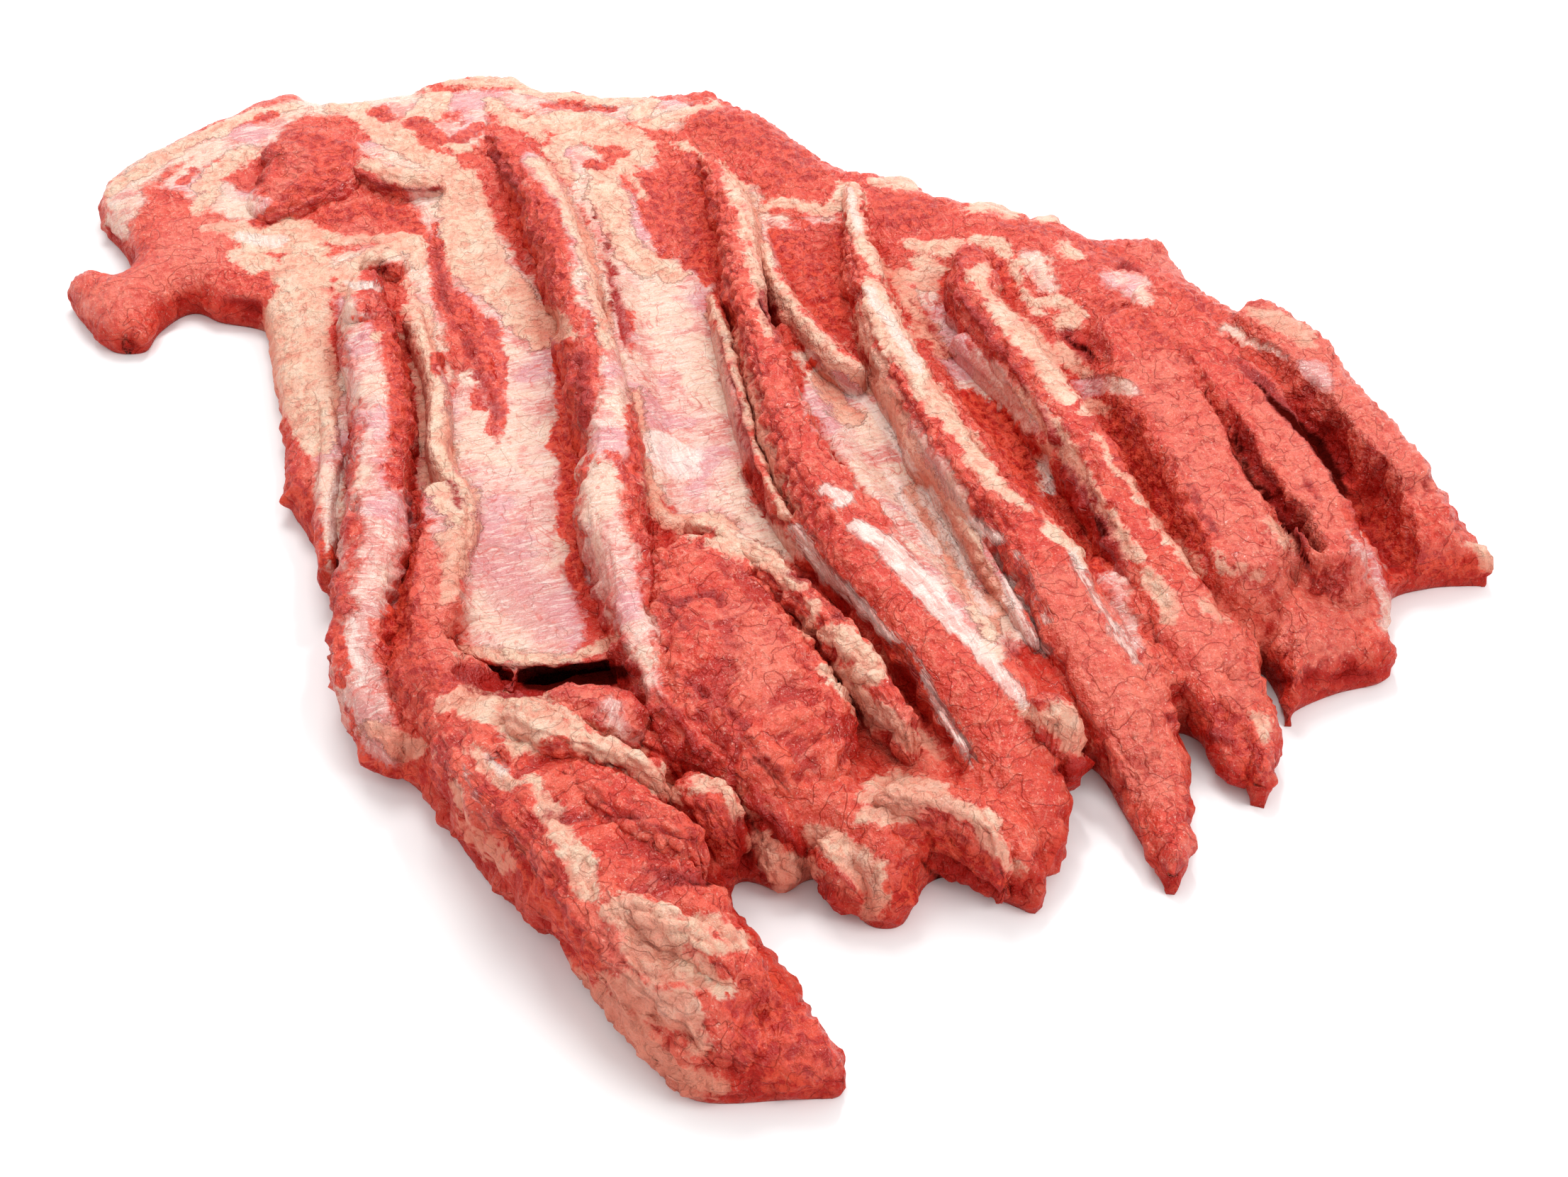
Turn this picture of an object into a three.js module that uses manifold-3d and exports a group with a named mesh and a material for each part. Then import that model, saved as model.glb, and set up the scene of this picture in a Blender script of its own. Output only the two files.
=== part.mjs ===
// Raw beef flank: a boneless side of ribs laid on its outer face, inner side up.
// Millimetres, +Z up. The origin is the middle of the flat underside's bounding box.
// The slab is thin meat with the beds where the rib bones lay. Between the beds stand the
// long muscles that ran between the ribs, with straps of fat beside them.

import * as THREE from 'three';
import * as BufferGeometryUtils from 'three/addons/utils/BufferGeometryUtils.js';
import Module from 'manifold-3d';

const wasm = await Module();
wasm.setup();

// Driving sizes
const BED = 25; // thickness of the meat in the beds
const RIM_REACH = 24; // how far in from the edge the top starts to round down
const RIM_SHARE = 0.5; // share of the thickness that is left at the very edge
const CELL = 15.5; // spacing of the slab's surface points
const OUTLINE_STEP = 11; // spacing of the points round the edge
const ROOT = 3; // height of the buried underside of the muscles and lumps
const SEEN_SHARE = 0.85; // height at which a muscle's line was read, as a share of its top
const LUMP_LENGTH = 60; // length of the lumps along a muscle
const LUMP_SHARE = 0.06; // how much a lump swells the muscle
const CEILING = 90; // higher than any part of the meat

// Plan points are as seen from an eye in front of the meat and above it, on a plan drawn
// at PLAN_UP. A point that really lies at height z slides along its line of sight.
const EYE_BACK = 745;
const EYE_UP = 671;
const PLAN_UP = 30;
const CENTRE = { x: -30.6, y: 80.6 }; // middle of the meat's box on the plan

function slide([x, y], z) {
  const k = (EYE_UP - z) / (EYE_UP - PLAN_UP);
  return new THREE.Vector3(x * k - CENTRE.x, (y + EYE_BACK) * k - EYE_BACK - CENTRE.y, z);
}

// The edge of the meat, clockwise from the thin tail at the left.
// Each stretch has the height at which its edge shows.
const EDGE = [
  { z: 12, points: [
    [-372, 197], [-362, 211], [-345, 207], [-344, 222], [-358, 247], [-370, 265], [-375, 290],
    [-364, 314], [-350, 333], [-338, 350], [-318, 368], [-300, 387], [-285, 392] ] },
  { z: 18, points: [
    [-266, 389], [-240, 395], [-222, 399], [-212, 413], [-190, 421], [-162, 422], [-142, 404],
    [-122, 404], [-100, 397], [-75, 400], [-45, 405], [-32, 396], [-12, 372], [4, 354],
    [22, 326], [40, 310], [70, 307], [82, 291], [98, 281], [115, 284], [132, 269], [148, 271],
    [162, 250], [185, 251], [203, 246], [210, 220], [222, 193] ] },
  { z: 25, points: [[236, 184], [254, 186], [264, 165], [277, 140], [283, 105], [296, 72], [306, 45]] },
  { z: 14, points: [[310, 12], [316, -8]] },
  { z: 3, points: [
    [312, -30], [286, -33], [266, -42], [258, -68], [255, -90], [232, -99], [214, -109],
    [207, -119], [203, -95], [199, -84], [197, -104], [201, -128], [195, -156], [186, -163],
    [182, -146], [172, -130], [160, -122], [161, -150], [160, -174], [154, -200], [146, -207],
    [140, -190], [133, -168], [123, -141], [111, -148], [108, -172], [101, -200], [97, -216],
    [82, -211], [66, -199], [55, -204], [46, -222], [30, -222], [14, -200], [0, -207],
    [-16, -201], [-19, -216], [-4, -243], [14, -275], [22, -297], [0, -301], [-32, -301],
    [-50, -283], [-66, -256], [-89, -226], [-112, -205], [-132, -176], [-149, -152],
    [-168, -136], [-182, -104], [-193, -72], [-197, -38], [-216, 0], [-230, 26], [-234, 60],
    [-247, 105], [-258, 150], [-266, 163] ] },
  { z: 5, points: [
    [-290, 173], [-304, 181], [-315, 166], [-320, 148], [-338, 147], [-354, 164] ] },
];

// Broad swellings and thinnings of the slab: a line on the plan, its reach and its height.
const SWELLINGS = [
  { name: 'under_near_strip', up: 10, reach: 36, path: [[-150, -84], [-100, -150], [-56, -210]] },
  { name: 'ends_of_the_middle', up: 10, reach: 42, path: [[-10, -150], [34, -170], [78, -170]] },
  { name: 'merged_sheets', up: 18, reach: 44, path: [[116, -40], [148, -72], [172, -96]] },
  { name: 'merged_sheets_right', up: 20, reach: 46, path: [[190, -56], [222, -42], [246, -36]] },
  { name: 'top_left_flesh', up: 5, reach: 78, path: [[-262, 332], [-200, 350], [-122, 344]] },
  { name: 'far_muscles', up: 10, reach: 50, path: [[-34, 372], [8, 322], [72, 276], [142, 244]] },
  { name: 'far_right_flesh', up: 10, reach: 46, path: [[150, 205], [210, 185], [252, 150]] },
  { name: 'thin_tail', up: -9, reach: 96, path: [[-368, 196], [-330, 228], [-344, 296], [-316, 340]] },
  { name: 'thin_left_edge', up: -8, reach: 42, path: [[-262, 200], [-240, 110], [-226, 56]] },
];

// Long muscles. Each point of a line has its place on the plan, the half width and the
// height of the top there. A muscle stands in the slab and its lower half is buried.
const MUSCLES = [
  { name: 'near_strip', sides: 12, line: [
    [-134, -98, 25, 42], [-112, -128, 31, 50], [-85, -161, 32, 54], [-60, -198, 29, 54],
    [-39, -231, 26, 49], [-20, -258, 22, 38], [-4, -278, 15, 26] ] },
  { name: 'middle_muscle', sides: 12, line: [
    [-46, 2, 18, 44], [-32, -40, 31, 54], [-16, -84, 36, 55], [4, -128, 32, 50], [18, -160, 20, 40] ] },
  { name: 'bridging_muscle', line: [
    [-157, 36, 6, 36], [-156, -10, 11, 42], [-155, -50, 15, 44], [-149, -82, 18, 45],
    [-140, -106, 15, 43] ] },
  { name: 'a_upper', line: [
    [-222, 202, 11, 42], [-208, 140, 14, 46], [-193, 92, 15, 46], [-190, 38, 13, 45] ] },
  { name: 'a_lower', line: [
    [-192, 44, 12, 44], [-188, 0, 14, 45], [-182, -50, 13, 43], [-176, -92, 12, 39], [-166, -122, 9, 31] ] },
  { name: 'b', line: [
    [-166, 356, 7, 30], [-141, 312, 12, 42], [-122, 258, 13, 48], [-108, 200, 13, 52], [-92, 125, 15, 54],
    [-84, 74, 15, 54], [-87, 30, 16, 53], [-78, -24, 16, 52], [-62, -72, 12, 50], [-40, -116, 10, 46],
    [-4, -160, 9, 38], [8, -184, 7, 24] ] },
  { name: 'c', line: [
    [-44, 332, 8, 34], [-27, 270, 11, 46], [-20, 200, 11, 52], [-5, 120, 12, 55], [8, 64, 15, 56],
    [34, 2, 20, 57], [64, -54, 22, 56], [88, -104, 20, 50], [98, -152, 15, 36], [97, -196, 9, 20] ] },
  { name: 'd', line: [
    [38, 302, 6, 36], [40, 240, 9, 44], [50, 168, 11, 50], [68, 100, 13, 54], [86, 50, 14, 55],
    [112, 2, 16, 54], [130, -56, 17, 49], [145, -112, 16, 38], [149, -160, 11, 22], [149, -196, 7, 13] ] },
  { name: 'e', line: [
    [100, 236, 9, 40], [100, 194, 12, 48], [116, 145, 13, 52], [134, 92, 13, 53], [150, 44, 12, 52],
    [164, -6, 12, 50], [178, -54, 14, 44], [187, -102, 13, 32], [189, -148, 8, 15] ] },
  { name: 'f', line: [
    [160, 208, 12, 38], [174, 160, 18, 46], [191, 104, 21, 49], [201, 50, 22, 50], [211, -4, 21, 49],
    [218, -46, 19, 44] ] },
  { name: 'g', line: [
    [184, 200, 9, 40], [214, 148, 12, 48], [234, 92, 12, 51], [247, 36, 14, 51], [252, -14, 15, 48],
    [248, -54, 14, 38] ] },
  { name: 'h', line: [
    [232, 186, 10, 36], [262, 152, 13, 46], [278, 108, 15, 50], [288, 62, 17, 50], [291, 12, 19, 46],
    [294, -8, 14, 34] ] },
];

// Straps of fat and membrane beside the muscles, on the side where each bone lay
const STRAPS = [
  { name: 'strap_left', line: [
    [-224, 108, 6, 28], [-214, 62, 7, 33], [-210, 20, 6, 35], [-203, -20, 4, 33] ] },
  { name: 'strap_a', line: [
    [-190, 180, 5, 38], [-170, 110, 6, 41], [-163, 60, 6, 41], [-146, 18, 7, 38], [-147, -40, 4, 34] ] },
  { name: 'strap_c', line: [
    [-37, 192, 5, 38], [-25, 122, 6, 42], [-8, 36, 5, 44], [20, -22, 5, 46], [54, -84, 5, 44],
    [74, -140, 4, 38] ] },
  { name: 'strap_d', line: [
    [40, 172, 5, 40], [56, 92, 6, 43], [76, 18, 6, 44], [98, -46, 6, 44], [108, -74, 4, 42] ] },
  { name: 'strap_e', line: [
    [86, 158, 6, 38], [122, 94, 7, 41], [138, 40, 5, 42], [160, -6, 5, 42], [166, -40, 4, 38] ] },
  { name: 'strap_bc', line: [[-12, 240, 5, 38], [0, 190, 6, 41], [24, 140, 7, 40], [40, 118, 5, 38]] },
];

// Lumps and loose ends at the near edge and on the middle muscle
const LUMPS = [
  { name: 'pale_lobe', line: [[-4, -176, 8, 24], [-1, -199, 9, 18]] },
  { name: 'fat_lobe', line: [[14, -174, 10, 36], [28, -194, 13, 28], [40, -212, 11, 20]] },
  { name: 'red_lobe', line: [[40, -162, 12, 36], [66, -180, 13, 30], [86, -202, 9, 18]] },
  { name: 'fat_lump', line: [
    [-114, -106, 9, 52], [-98, -122, 11, 60], [-66, -137, 8, 60], [-46, -152, 7, 57] ] },
  { name: 'fat_flap', line: [[100, -106, 5, 54], [114, -116, 9, 56], [112, -130, 7, 48]] },
  { name: 'fat_strip', line: [
    [-44, 14, 6, 42], [-14, -14, 8, 50], [12, -46, 8, 54], [34, -84, 9, 54], [54, -128, 6, 47] ] },
  { name: 'bead', line: [[-224, 184, 7, 50], [-216, 174, 8, 52], [-212, 164, 6, 50]] },
  { name: 'coral_flap', line: [
    [-292, 352, 16, 30], [-262, 330, 30, 36], [-276, 294, 22, 34], [-296, 276, 10, 28] ] },
  { name: 'thin_flap', line: [[-240, 318, 5, 34], [-214, 308, 10, 37], [-186, 302, 8, 35]] },
];

// Cuts and deep clefts: the last number of each point is the height of the cleft's floor.
const CLEFTS = [
  { name: 'pocket', line: [[-130, -78, 9, 12], [-102, -84, 17, 5], [-64, -78, 11, 8]] },
  { name: 'cleft_fg', line: [[213, 88, 4, 18], [219, 48, 5, 16], [231, 12, 5, 16], [235, -30, 3, 20]] },
  { name: 'cleft_gh', line: [[226, 140, 5, 14], [248, 96, 8, 10], [265, 44, 9, 8], [270, -22, 7, 8]] },
  { name: 'cleft_de', line: [
    [95, 192, 4, 16], [114, 136, 6, 14], [130, 84, 6, 14], [144, 14, 6, 14], [150, -24, 4, 18] ] },
  { name: 'cleft_bc', line: [[-13, 204, 3, 18], [-8, 178, 5, 16], [-2, 150, 3, 18]] },
];

const MEAT = new THREE.MeshStandardMaterial({ color: '#d6786a', roughness: 0.45, metalness: 0 });

// Solids and geometries are turned into each other here.
function solidOf(geometry) {
  const bare = geometry.index ? geometry.toNonIndexed() : geometry.clone();
  bare.deleteAttribute('normal');
  bare.deleteAttribute('uv');
  const merged = BufferGeometryUtils.mergeVertices(bare, 1e-4);
  const vertProperties = Float32Array.from(merged.attributes.position.array);
  const triVerts = Uint32Array.from(merged.index.array);
  return new wasm.Manifold(new wasm.Mesh({ numProp: 3, vertProperties, triVerts }));
}

function geometryOf(solid) {
  const { vertProperties, triVerts, numProp } = solid.getMesh();
  const places = new Float32Array((vertProperties.length / numProp) * 3);
  for (let i = 0; i < places.length / 3; i += 1) {
    places.set(vertProperties.subarray(i * numProp, i * numProp + 3), i * 3);
  }
  const geometry = new THREE.BufferGeometry();
  geometry.setAttribute('position', new THREE.BufferAttribute(places, 3));
  geometry.setIndex(new THREE.BufferAttribute(Uint32Array.from(triVerts), 1));
  geometry.computeVertexNormals();
  return geometry;
}

// The edge as one closed smooth curve, sampled evenly
function edgePoints() {
  const places = EDGE.flatMap(({ z, points }) => points.map((point) => slide(point, z).setZ(0)));
  const curve = new THREE.CatmullRomCurve3(places, true, 'centripetal');
  const count = Math.round(curve.getLength() / OUTLINE_STEP);
  return curve.getSpacedPoints(count).slice(0, count).map(({ x, y }) => new THREE.Vector2(x, y));
}

function distanceToLine(x, y, points, closed) {
  let nearest = Infinity;
  const last = closed ? points.length : points.length - 1;
  for (let i = 0; i < last; i += 1) {
    const a = points[i];
    const b = points[(i + 1) % points.length];
    const alongX = b.x - a.x;
    const alongY = b.y - a.y;
    const share = ((x - a.x) * alongX + (y - a.y) * alongY) / (alongX * alongX + alongY * alongY);
    const t = Math.min(1, Math.max(0, share));
    nearest = Math.min(nearest, Math.hypot(x - a.x - alongX * t, y - a.y - alongY * t));
  }
  return nearest;
}

function inside(x, y, points) {
  let found = false;
  for (let i = 0, j = points.length - 1; i < points.length; j = i, i += 1) {
    const a = points[i];
    const b = points[j];
    if (a.y > y !== b.y > y && x < ((b.x - a.x) * (y - a.y)) / (b.y - a.y) + a.x) found = !found;
  }
  return found;
}

// The slab: a sheet of points lifted to the meat's upper surface, cut to the edge
function slab(edge) {
  const swellings = SWELLINGS.map(({ up, reach, path }) => ({
    up, reach, places: path.map((point) => slide(point, BED + Math.max(0, up))),
  }));
  function heightAt(x, y) {
    let height = BED;
    for (const { up, reach, places } of swellings) {
      const near = Math.max(0, 1 - distanceToLine(x, y, places, false) / reach);
      height += up * near * near * (3 - 2 * near);
    }
    const depthIn = inside(x, y, edge) ? distanceToLine(x, y, edge, true) : 0;
    const away = 1 - Math.min(1, depthIn / RIM_REACH);
    return height * (RIM_SHARE + (1 - RIM_SHARE) * Math.sqrt(1 - away * away));
  }
  const box = new THREE.Box2().setFromPoints(edge).expandByScalar(CELL);
  const size = box.getSize(new THREE.Vector2());
  const middle = box.getCenter(new THREE.Vector2());
  const columns = Math.round(size.x / CELL);
  const rows = Math.round(size.y / CELL);
  const sheet = new THREE.BoxGeometry(size.x, size.y, 2, columns, rows, 1);
  sheet.translate(middle.x, middle.y, 0);
  const place = sheet.attributes.position;
  for (let i = 0; i < place.count; i += 1) {
    const x = Math.round(place.getX(i) * 10) / 10; // so that the sheet's faces share their corners
    const y = Math.round(place.getY(i) * 10) / 10;
    place.setXYZ(i, x, y, place.getZ(i) > 0 ? heightAt(x, y) : -CEILING);
  }
  const shape = new THREE.Shape(edge);
  const block = new THREE.ExtrudeGeometry(shape, { depth: CEILING, bevelEnabled: false });
  return solidOf(sheet).intersect(solidOf(block));
}

// A long rounded body along a line: a sphere's rings are strung on the curve, and its two
// poles become the ends. Lumps swell it along its length.
function strung(line, floorAt, topAt, seenAt, { rings, sides, lumps }) {
  const places = line.map((point) => slide(point, seenAt(point)).setZ(0));
  const curve = new THREE.CatmullRomCurve3(places, false, 'centripetal');
  const length = curve.getLength();
  const endShare = Math.min(0.5, (line[0][2] + line.at(-1)[2]) / length);
  const body = new THREE.SphereGeometry(1, sides, rings);
  const place = body.attributes.position;
  for (let i = 0; i < place.count; i += 1) {
    const from = new THREE.Vector3().fromBufferAttribute(place, i);
    const t = Math.acos(THREE.MathUtils.clamp(from.y, -1, 1)) / Math.PI;
    const atPole = Math.hypot(from.x, from.z) < 1e-6;
    const turn = atPole ? 0 : Math.atan2(from.z, from.x);
    const toEnd = Math.min(1, Math.min(t, 1 - t) / endShare);
    const full = atPole ? 0 : Math.sqrt(1 - (1 - toEnd) * (1 - toEnd));
    const where = t * (line.length - 1);
    const step = Math.min(line.length - 2, Math.floor(where));
    const blend = (pick) => THREE.MathUtils.lerp(pick(line[step]), pick(line[step + 1]), where - step);
    const swell = full * (1 + lumps * Math.sin((t * length * 2 * Math.PI) / LUMP_LENGTH + Math.cos(turn)));
    const middleUp = blend((point) => (topAt(point) + floorAt(point)) / 2);
    const halfUp = blend((point) => (topAt(point) - floorAt(point)) / 2);
    const centre = curve.getPoint(t);
    const along = curve.getTangent(t);
    const across = new THREE.Vector3(-along.y, along.x, 0);
    centre.addScaledVector(across, Math.cos(turn) * blend((point) => point[2]) * swell);
    place.setXYZ(i, centre.x, centre.y, middleUp + Math.sin(turn) * halfUp * swell);
  }
  return solidOf(body);
}

// A body that stands in the slab, with the top given at each point
function raised({ line, sides = 8 }, rings, lumps) {
  const top = (point) => point[3];
  const seen = (point) => point[3] * SEEN_SHARE;
  return strung(line, () => ROOT, top, seen, { rings, sides, lumps });
}

// A cleft, cut down from above to the floor given at each point
function cut({ line }, rings) {
  const floor = (point) => point[3];
  return strung(line, floor, () => CEILING, floor, { rings, sides: 8, lumps: 0 });
}

function unionOf(solids) {
  return solids.reduce((whole, solid) => whole.add(solid));
}

function flank() {
  const muscles = MUSCLES.map((muscle) => raised(muscle, 2 * muscle.line.length + 4, LUMP_SHARE));
  const straps = STRAPS.map((strap) => raised({ ...strap, sides: 6 }, 11, 0));
  const lumps = LUMPS.map((lump) => raised(lump, 7, LUMP_SHARE));
  const standing = unionOf([slab(edgePoints()), ...muscles, ...straps, ...lumps]);
  const whole = standing.subtract(unionOf(CLEFTS.map((cleft) => cut(cleft, 10))));
  const bodies = whole.decompose().sort((a, b) => b.volume() - a.volume()); // the meat, then any scrap
  return geometryOf(bodies[0]);
}

const beefFlank = new THREE.Mesh(flank(), MEAT);
beefFlank.name = 'beef_flank';

const part = new THREE.Group();
part.add(beefFlank);

export default part;
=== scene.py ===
# %% [markdown]
# A raw beef flank, laid flat with its inner side up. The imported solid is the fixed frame: it
# gives the place and the size, and everything modelled here stands in for it. Loading it first
# means that a piece can be checked against it at any time.

# %% The frame and the tools
import math

import bmesh
import bpy
import numpy as np
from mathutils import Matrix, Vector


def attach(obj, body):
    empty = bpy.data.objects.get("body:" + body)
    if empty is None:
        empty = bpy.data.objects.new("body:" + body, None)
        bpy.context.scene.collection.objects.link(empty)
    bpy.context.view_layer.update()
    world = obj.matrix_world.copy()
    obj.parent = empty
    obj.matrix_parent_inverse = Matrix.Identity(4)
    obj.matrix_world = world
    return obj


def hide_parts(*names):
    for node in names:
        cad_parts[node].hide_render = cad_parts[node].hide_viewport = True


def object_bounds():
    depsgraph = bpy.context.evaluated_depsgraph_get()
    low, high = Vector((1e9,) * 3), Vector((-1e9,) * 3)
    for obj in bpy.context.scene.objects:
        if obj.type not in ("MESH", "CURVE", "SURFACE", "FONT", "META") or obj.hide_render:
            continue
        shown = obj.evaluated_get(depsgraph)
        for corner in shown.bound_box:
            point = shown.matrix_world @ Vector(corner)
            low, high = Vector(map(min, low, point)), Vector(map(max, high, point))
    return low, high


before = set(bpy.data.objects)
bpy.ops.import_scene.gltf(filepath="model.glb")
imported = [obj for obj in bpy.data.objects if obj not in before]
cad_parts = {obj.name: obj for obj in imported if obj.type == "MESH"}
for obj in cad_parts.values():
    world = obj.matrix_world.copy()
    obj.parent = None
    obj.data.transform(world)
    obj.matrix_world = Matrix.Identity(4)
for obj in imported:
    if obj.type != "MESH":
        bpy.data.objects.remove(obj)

cad_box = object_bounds()
print("frame box", [[round(v, 3) for v in corner] for corner in cad_box])

# %% [markdown]
# Every place on the meat is written as it is seen from one eye, on a plan drawn 30 mm above
# the table. A point that really lies higher or lower slides along its line of sight. Writing
# places this way keeps a piece where it is seen, whatever height it is given afterwards. The
# camera is that eye: 671 mm up and 745 mm in front, with a 50 mm lens on a 36 mm sensor.

# %% Plan, eye and camera
MM = 0.001
EYE_BACK = 745.0
EYE_UP = 671.0
PLAN_UP = 30.0
CENTRE_X = -30.6
CENTRE_Y = 80.6
LENS = 50.0
SENSOR = 36.0


def slide(x, y, z):
    """Plan places and heights in mm, as places in the frame in mm."""
    k = (EYE_UP - z) / (EYE_UP - PLAN_UP)
    return x * k - CENTRE_X, (y + EYE_BACK) * k - EYE_BACK - CENTRE_Y


def seen(places):
    """The plan place at which each place in the frame is seen."""
    k = (EYE_UP - places[:, 2]) / (EYE_UP - PLAN_UP)
    x = (places[:, 0] + CENTRE_X) / k
    y = (places[:, 1] + CENTRE_Y + EYE_BACK) / k - EYE_BACK
    return np.stack([x, y], axis=1)


camera = bpy.data.objects.new("camera", bpy.data.cameras.new("camera"))
bpy.context.collection.objects.link(camera)
camera.data.lens = LENS
camera.data.sensor_width = SENSOR
camera.location = (-CENTRE_X * MM, (-EYE_BACK - CENTRE_Y) * MM, EYE_UP * MM)
camera.rotation_euler = (math.atan2(EYE_BACK, EYE_UP), 0, 0)
bpy.context.scene.camera = camera
print("camera at", [round(v, 3) for v in camera.location])

# %% [markdown]
# The room is a plain pale floor and soft light. One wide soft lamp hangs above and a little
# behind the meat, so the muscles shade the beds between them. Another stands to the right, a
# small one behind gives the wet glints, and a pale world fills the rest.

# %% Floor and light
FLOOR_SIDE = 8.0

floor_shape = bmesh.new()
bmesh.ops.create_grid(floor_shape, x_segments=1, y_segments=1, size=FLOOR_SIDE / 2)
floor_mesh = bpy.data.meshes.new("floor")
floor_shape.to_mesh(floor_mesh)
floor_shape.free()
floor = bpy.data.objects.new("floor", floor_mesh)
bpy.context.collection.objects.link(floor)

floor_finish = bpy.data.materials.new("pale_floor")
floor_finish.use_nodes = True
floor_shader = floor_finish.node_tree.nodes["Principled BSDF"]
floor_shader.inputs["Base Color"].default_value = (0.93, 0.93, 0.93, 1)
floor_shader.inputs["Roughness"].default_value = 0.9
floor_mesh.materials.append(floor_finish)


def soft_lamp(name, place, aim, side, watts):
    """A square soft lamp that faces a point."""
    lamp = bpy.data.objects.new(name, bpy.data.lights.new(name, "AREA"))
    bpy.context.collection.objects.link(lamp)
    lamp.data.size = side
    lamp.data.energy = watts
    lamp.location = place
    away = np.array(aim) - np.array(place)
    lamp.rotation_euler = (math.atan2(math.hypot(away[0], away[1]), -away[2]), 0,
                           math.atan2(away[0], -away[1]) + math.pi)
    print("lamp", name, watts, "W")


soft_lamp("key", (-0.25, 0.75, 1.5), (0, 0, 0), 0.7, 11.5)
soft_lamp("side", (1.2, -0.7, 1.3), (0, 0, 0), 0.8, 10)
soft_lamp("glint", (0.25, 1.1, 1.15), (0, 0, 0), 0.16, 8)

world = bpy.data.worlds.new("pale_room")
bpy.context.scene.world = world
world.use_nodes = True
world.node_tree.nodes["Background"].inputs["Color"].default_value = (1, 1, 1, 1)
world.node_tree.nodes["Background"].inputs["Strength"].default_value = 0.93
bpy.context.scene.view_settings.view_transform = "Standard"

# %% [markdown]
# Raw meat has no straight line, so nearly every form is drawn from a few points and then
# roughened. These helpers round a line through its points, measure how far places lie from a
# line, and make two kinds of unevenness: soft noise for swelling, and packed cells for the
# kernels that cut muscle shows. They work on all the points of a mesh at once.

# %% Lines and unevenness
def rounded(line, per_span=10, closed=False):
    """A line's points with a smooth curve through them. Every column is carried along."""
    line = np.array(line, float)
    if closed:
        spans = len(line)
        ends = [np.roll(line, 1 - j, axis=0)[:spans] for j in range(4)]
    else:
        spans = len(line) - 1
        full = np.vstack([2 * line[0] - line[1], line, 2 * line[-1] - line[-2]])
        ends = [full[j:j + spans] for j in range(4)]
    t = np.linspace(0, 1, per_span, endpoint=False)[None, :, None]
    a, b, c, d = [e[:, None, :] for e in ends]
    bend = (2 * a - 5 * b + 4 * c - d) * t ** 2 + (3 * b - a - 3 * c + d) * t ** 3
    curve = (b + 0.5 * ((c - a) * t + bend)).reshape(-1, line.shape[1])
    return curve if closed else np.vstack([curve, line[-1:]])


def reach_in(places, line, margin=15.0):
    """How deep each plan place lies in a stroke whose points are x, y, half width."""
    depth = np.full(len(places), -margin)
    line = np.array(line, float)
    if len(line) == 1:
        line = np.vstack([line, line + [[0.1, 0, 0]]])
    low = line[:, :2].min(0) - line[:, 2].max() - margin
    high = line[:, :2].max(0) + line[:, 2].max() + margin
    near = np.nonzero(((places > low) & (places < high)).all(1))[0]
    p = places[near]
    best = np.full(len(near), -margin)
    for a, b in zip(line[:-1], line[1:]):
        along = b[:2] - a[:2]
        t = np.clip(((p - a[:2]) @ along) / max(along @ along, 1e-9), 0, 1)
        away = np.hypot(*(p - a[:2] - t[:, None] * along).T)
        best = np.maximum(best, a[2] + (b[2] - a[2]) * t - away)
    depth[near] = best
    return depth


def ease(x):
    """0 below 0, 1 above 1, and smooth between."""
    x = np.clip(x, 0, 1)
    return x * x * (3 - 2 * x)


def scatter(cell, salt):
    """A steady random number from 0 to 1 for each whole-number cell."""
    mixers = np.array([73856093, 19349663, 83492791][:cell.shape[1]])
    mix = cell.astype(np.int64) @ mixers + salt * 2654435761
    mix = (mix ^ (mix >> 13)) * 1274126177 & 0xFFFFFFFF
    return ((mix ^ (mix >> 16)) & 0xFFFFFF) / 0xFFFFFF


def swell(places, size, salt=1, octaves=2):
    """Soft noise from about -1 to 1 with lumps of the given size in mm, on any columns."""
    total = np.zeros(len(places))
    weight = 1.0
    for octave in range(octaves):
        p = places / (np.array(size) / 2 ** octave) + 37.3 * salt + 11 * octave
        base = np.floor(p)
        f = p - base
        f = f * f * (3 - 2 * f)
        columns = places.shape[1]
        for corner in range(2 ** columns):
            bits = np.array([(corner >> c) & 1 for c in range(columns)])
            share = np.prod(np.where(bits, f, 1 - f), axis=1)
            total += weight * share * (2 * scatter(base + bits, salt + octave) - 1)
        weight *= 0.5
    return total


def kernels(places, size, salt=1):
    """Packed round cells on two columns: 1 in the middle of a cell, 0 in the creases."""
    p = places / np.array(size) + 51.7 * salt
    base = np.floor(p)
    first = np.full(len(p), 9.0)
    second = np.full(len(p), 9.0)
    for dx in (-1, 0, 1):
        for dy in (-1, 0, 1):
            cell = base + [dx, dy]
            spot = cell + 0.05 + 0.9 * np.stack([scatter(cell, salt), scatter(cell, salt + 9)], axis=1)
            away = np.hypot(*(p - spot).T)
            second = np.minimum(second, np.maximum(first, away))
            first = np.minimum(first, away)
    return ease((second - first) * 2.0) * (1 - 0.4 * np.clip(first, 0, 1) ** 2)


print("a noise sample", swell(np.array([[10.0, 20.0]]), 30).round(3))

# %% [markdown]
# The edge of the meat is one closed line. Each stretch has the height at which its edge is
# seen: the near edge is seen where it meets the table, the far edge at its upper rim.

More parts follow.
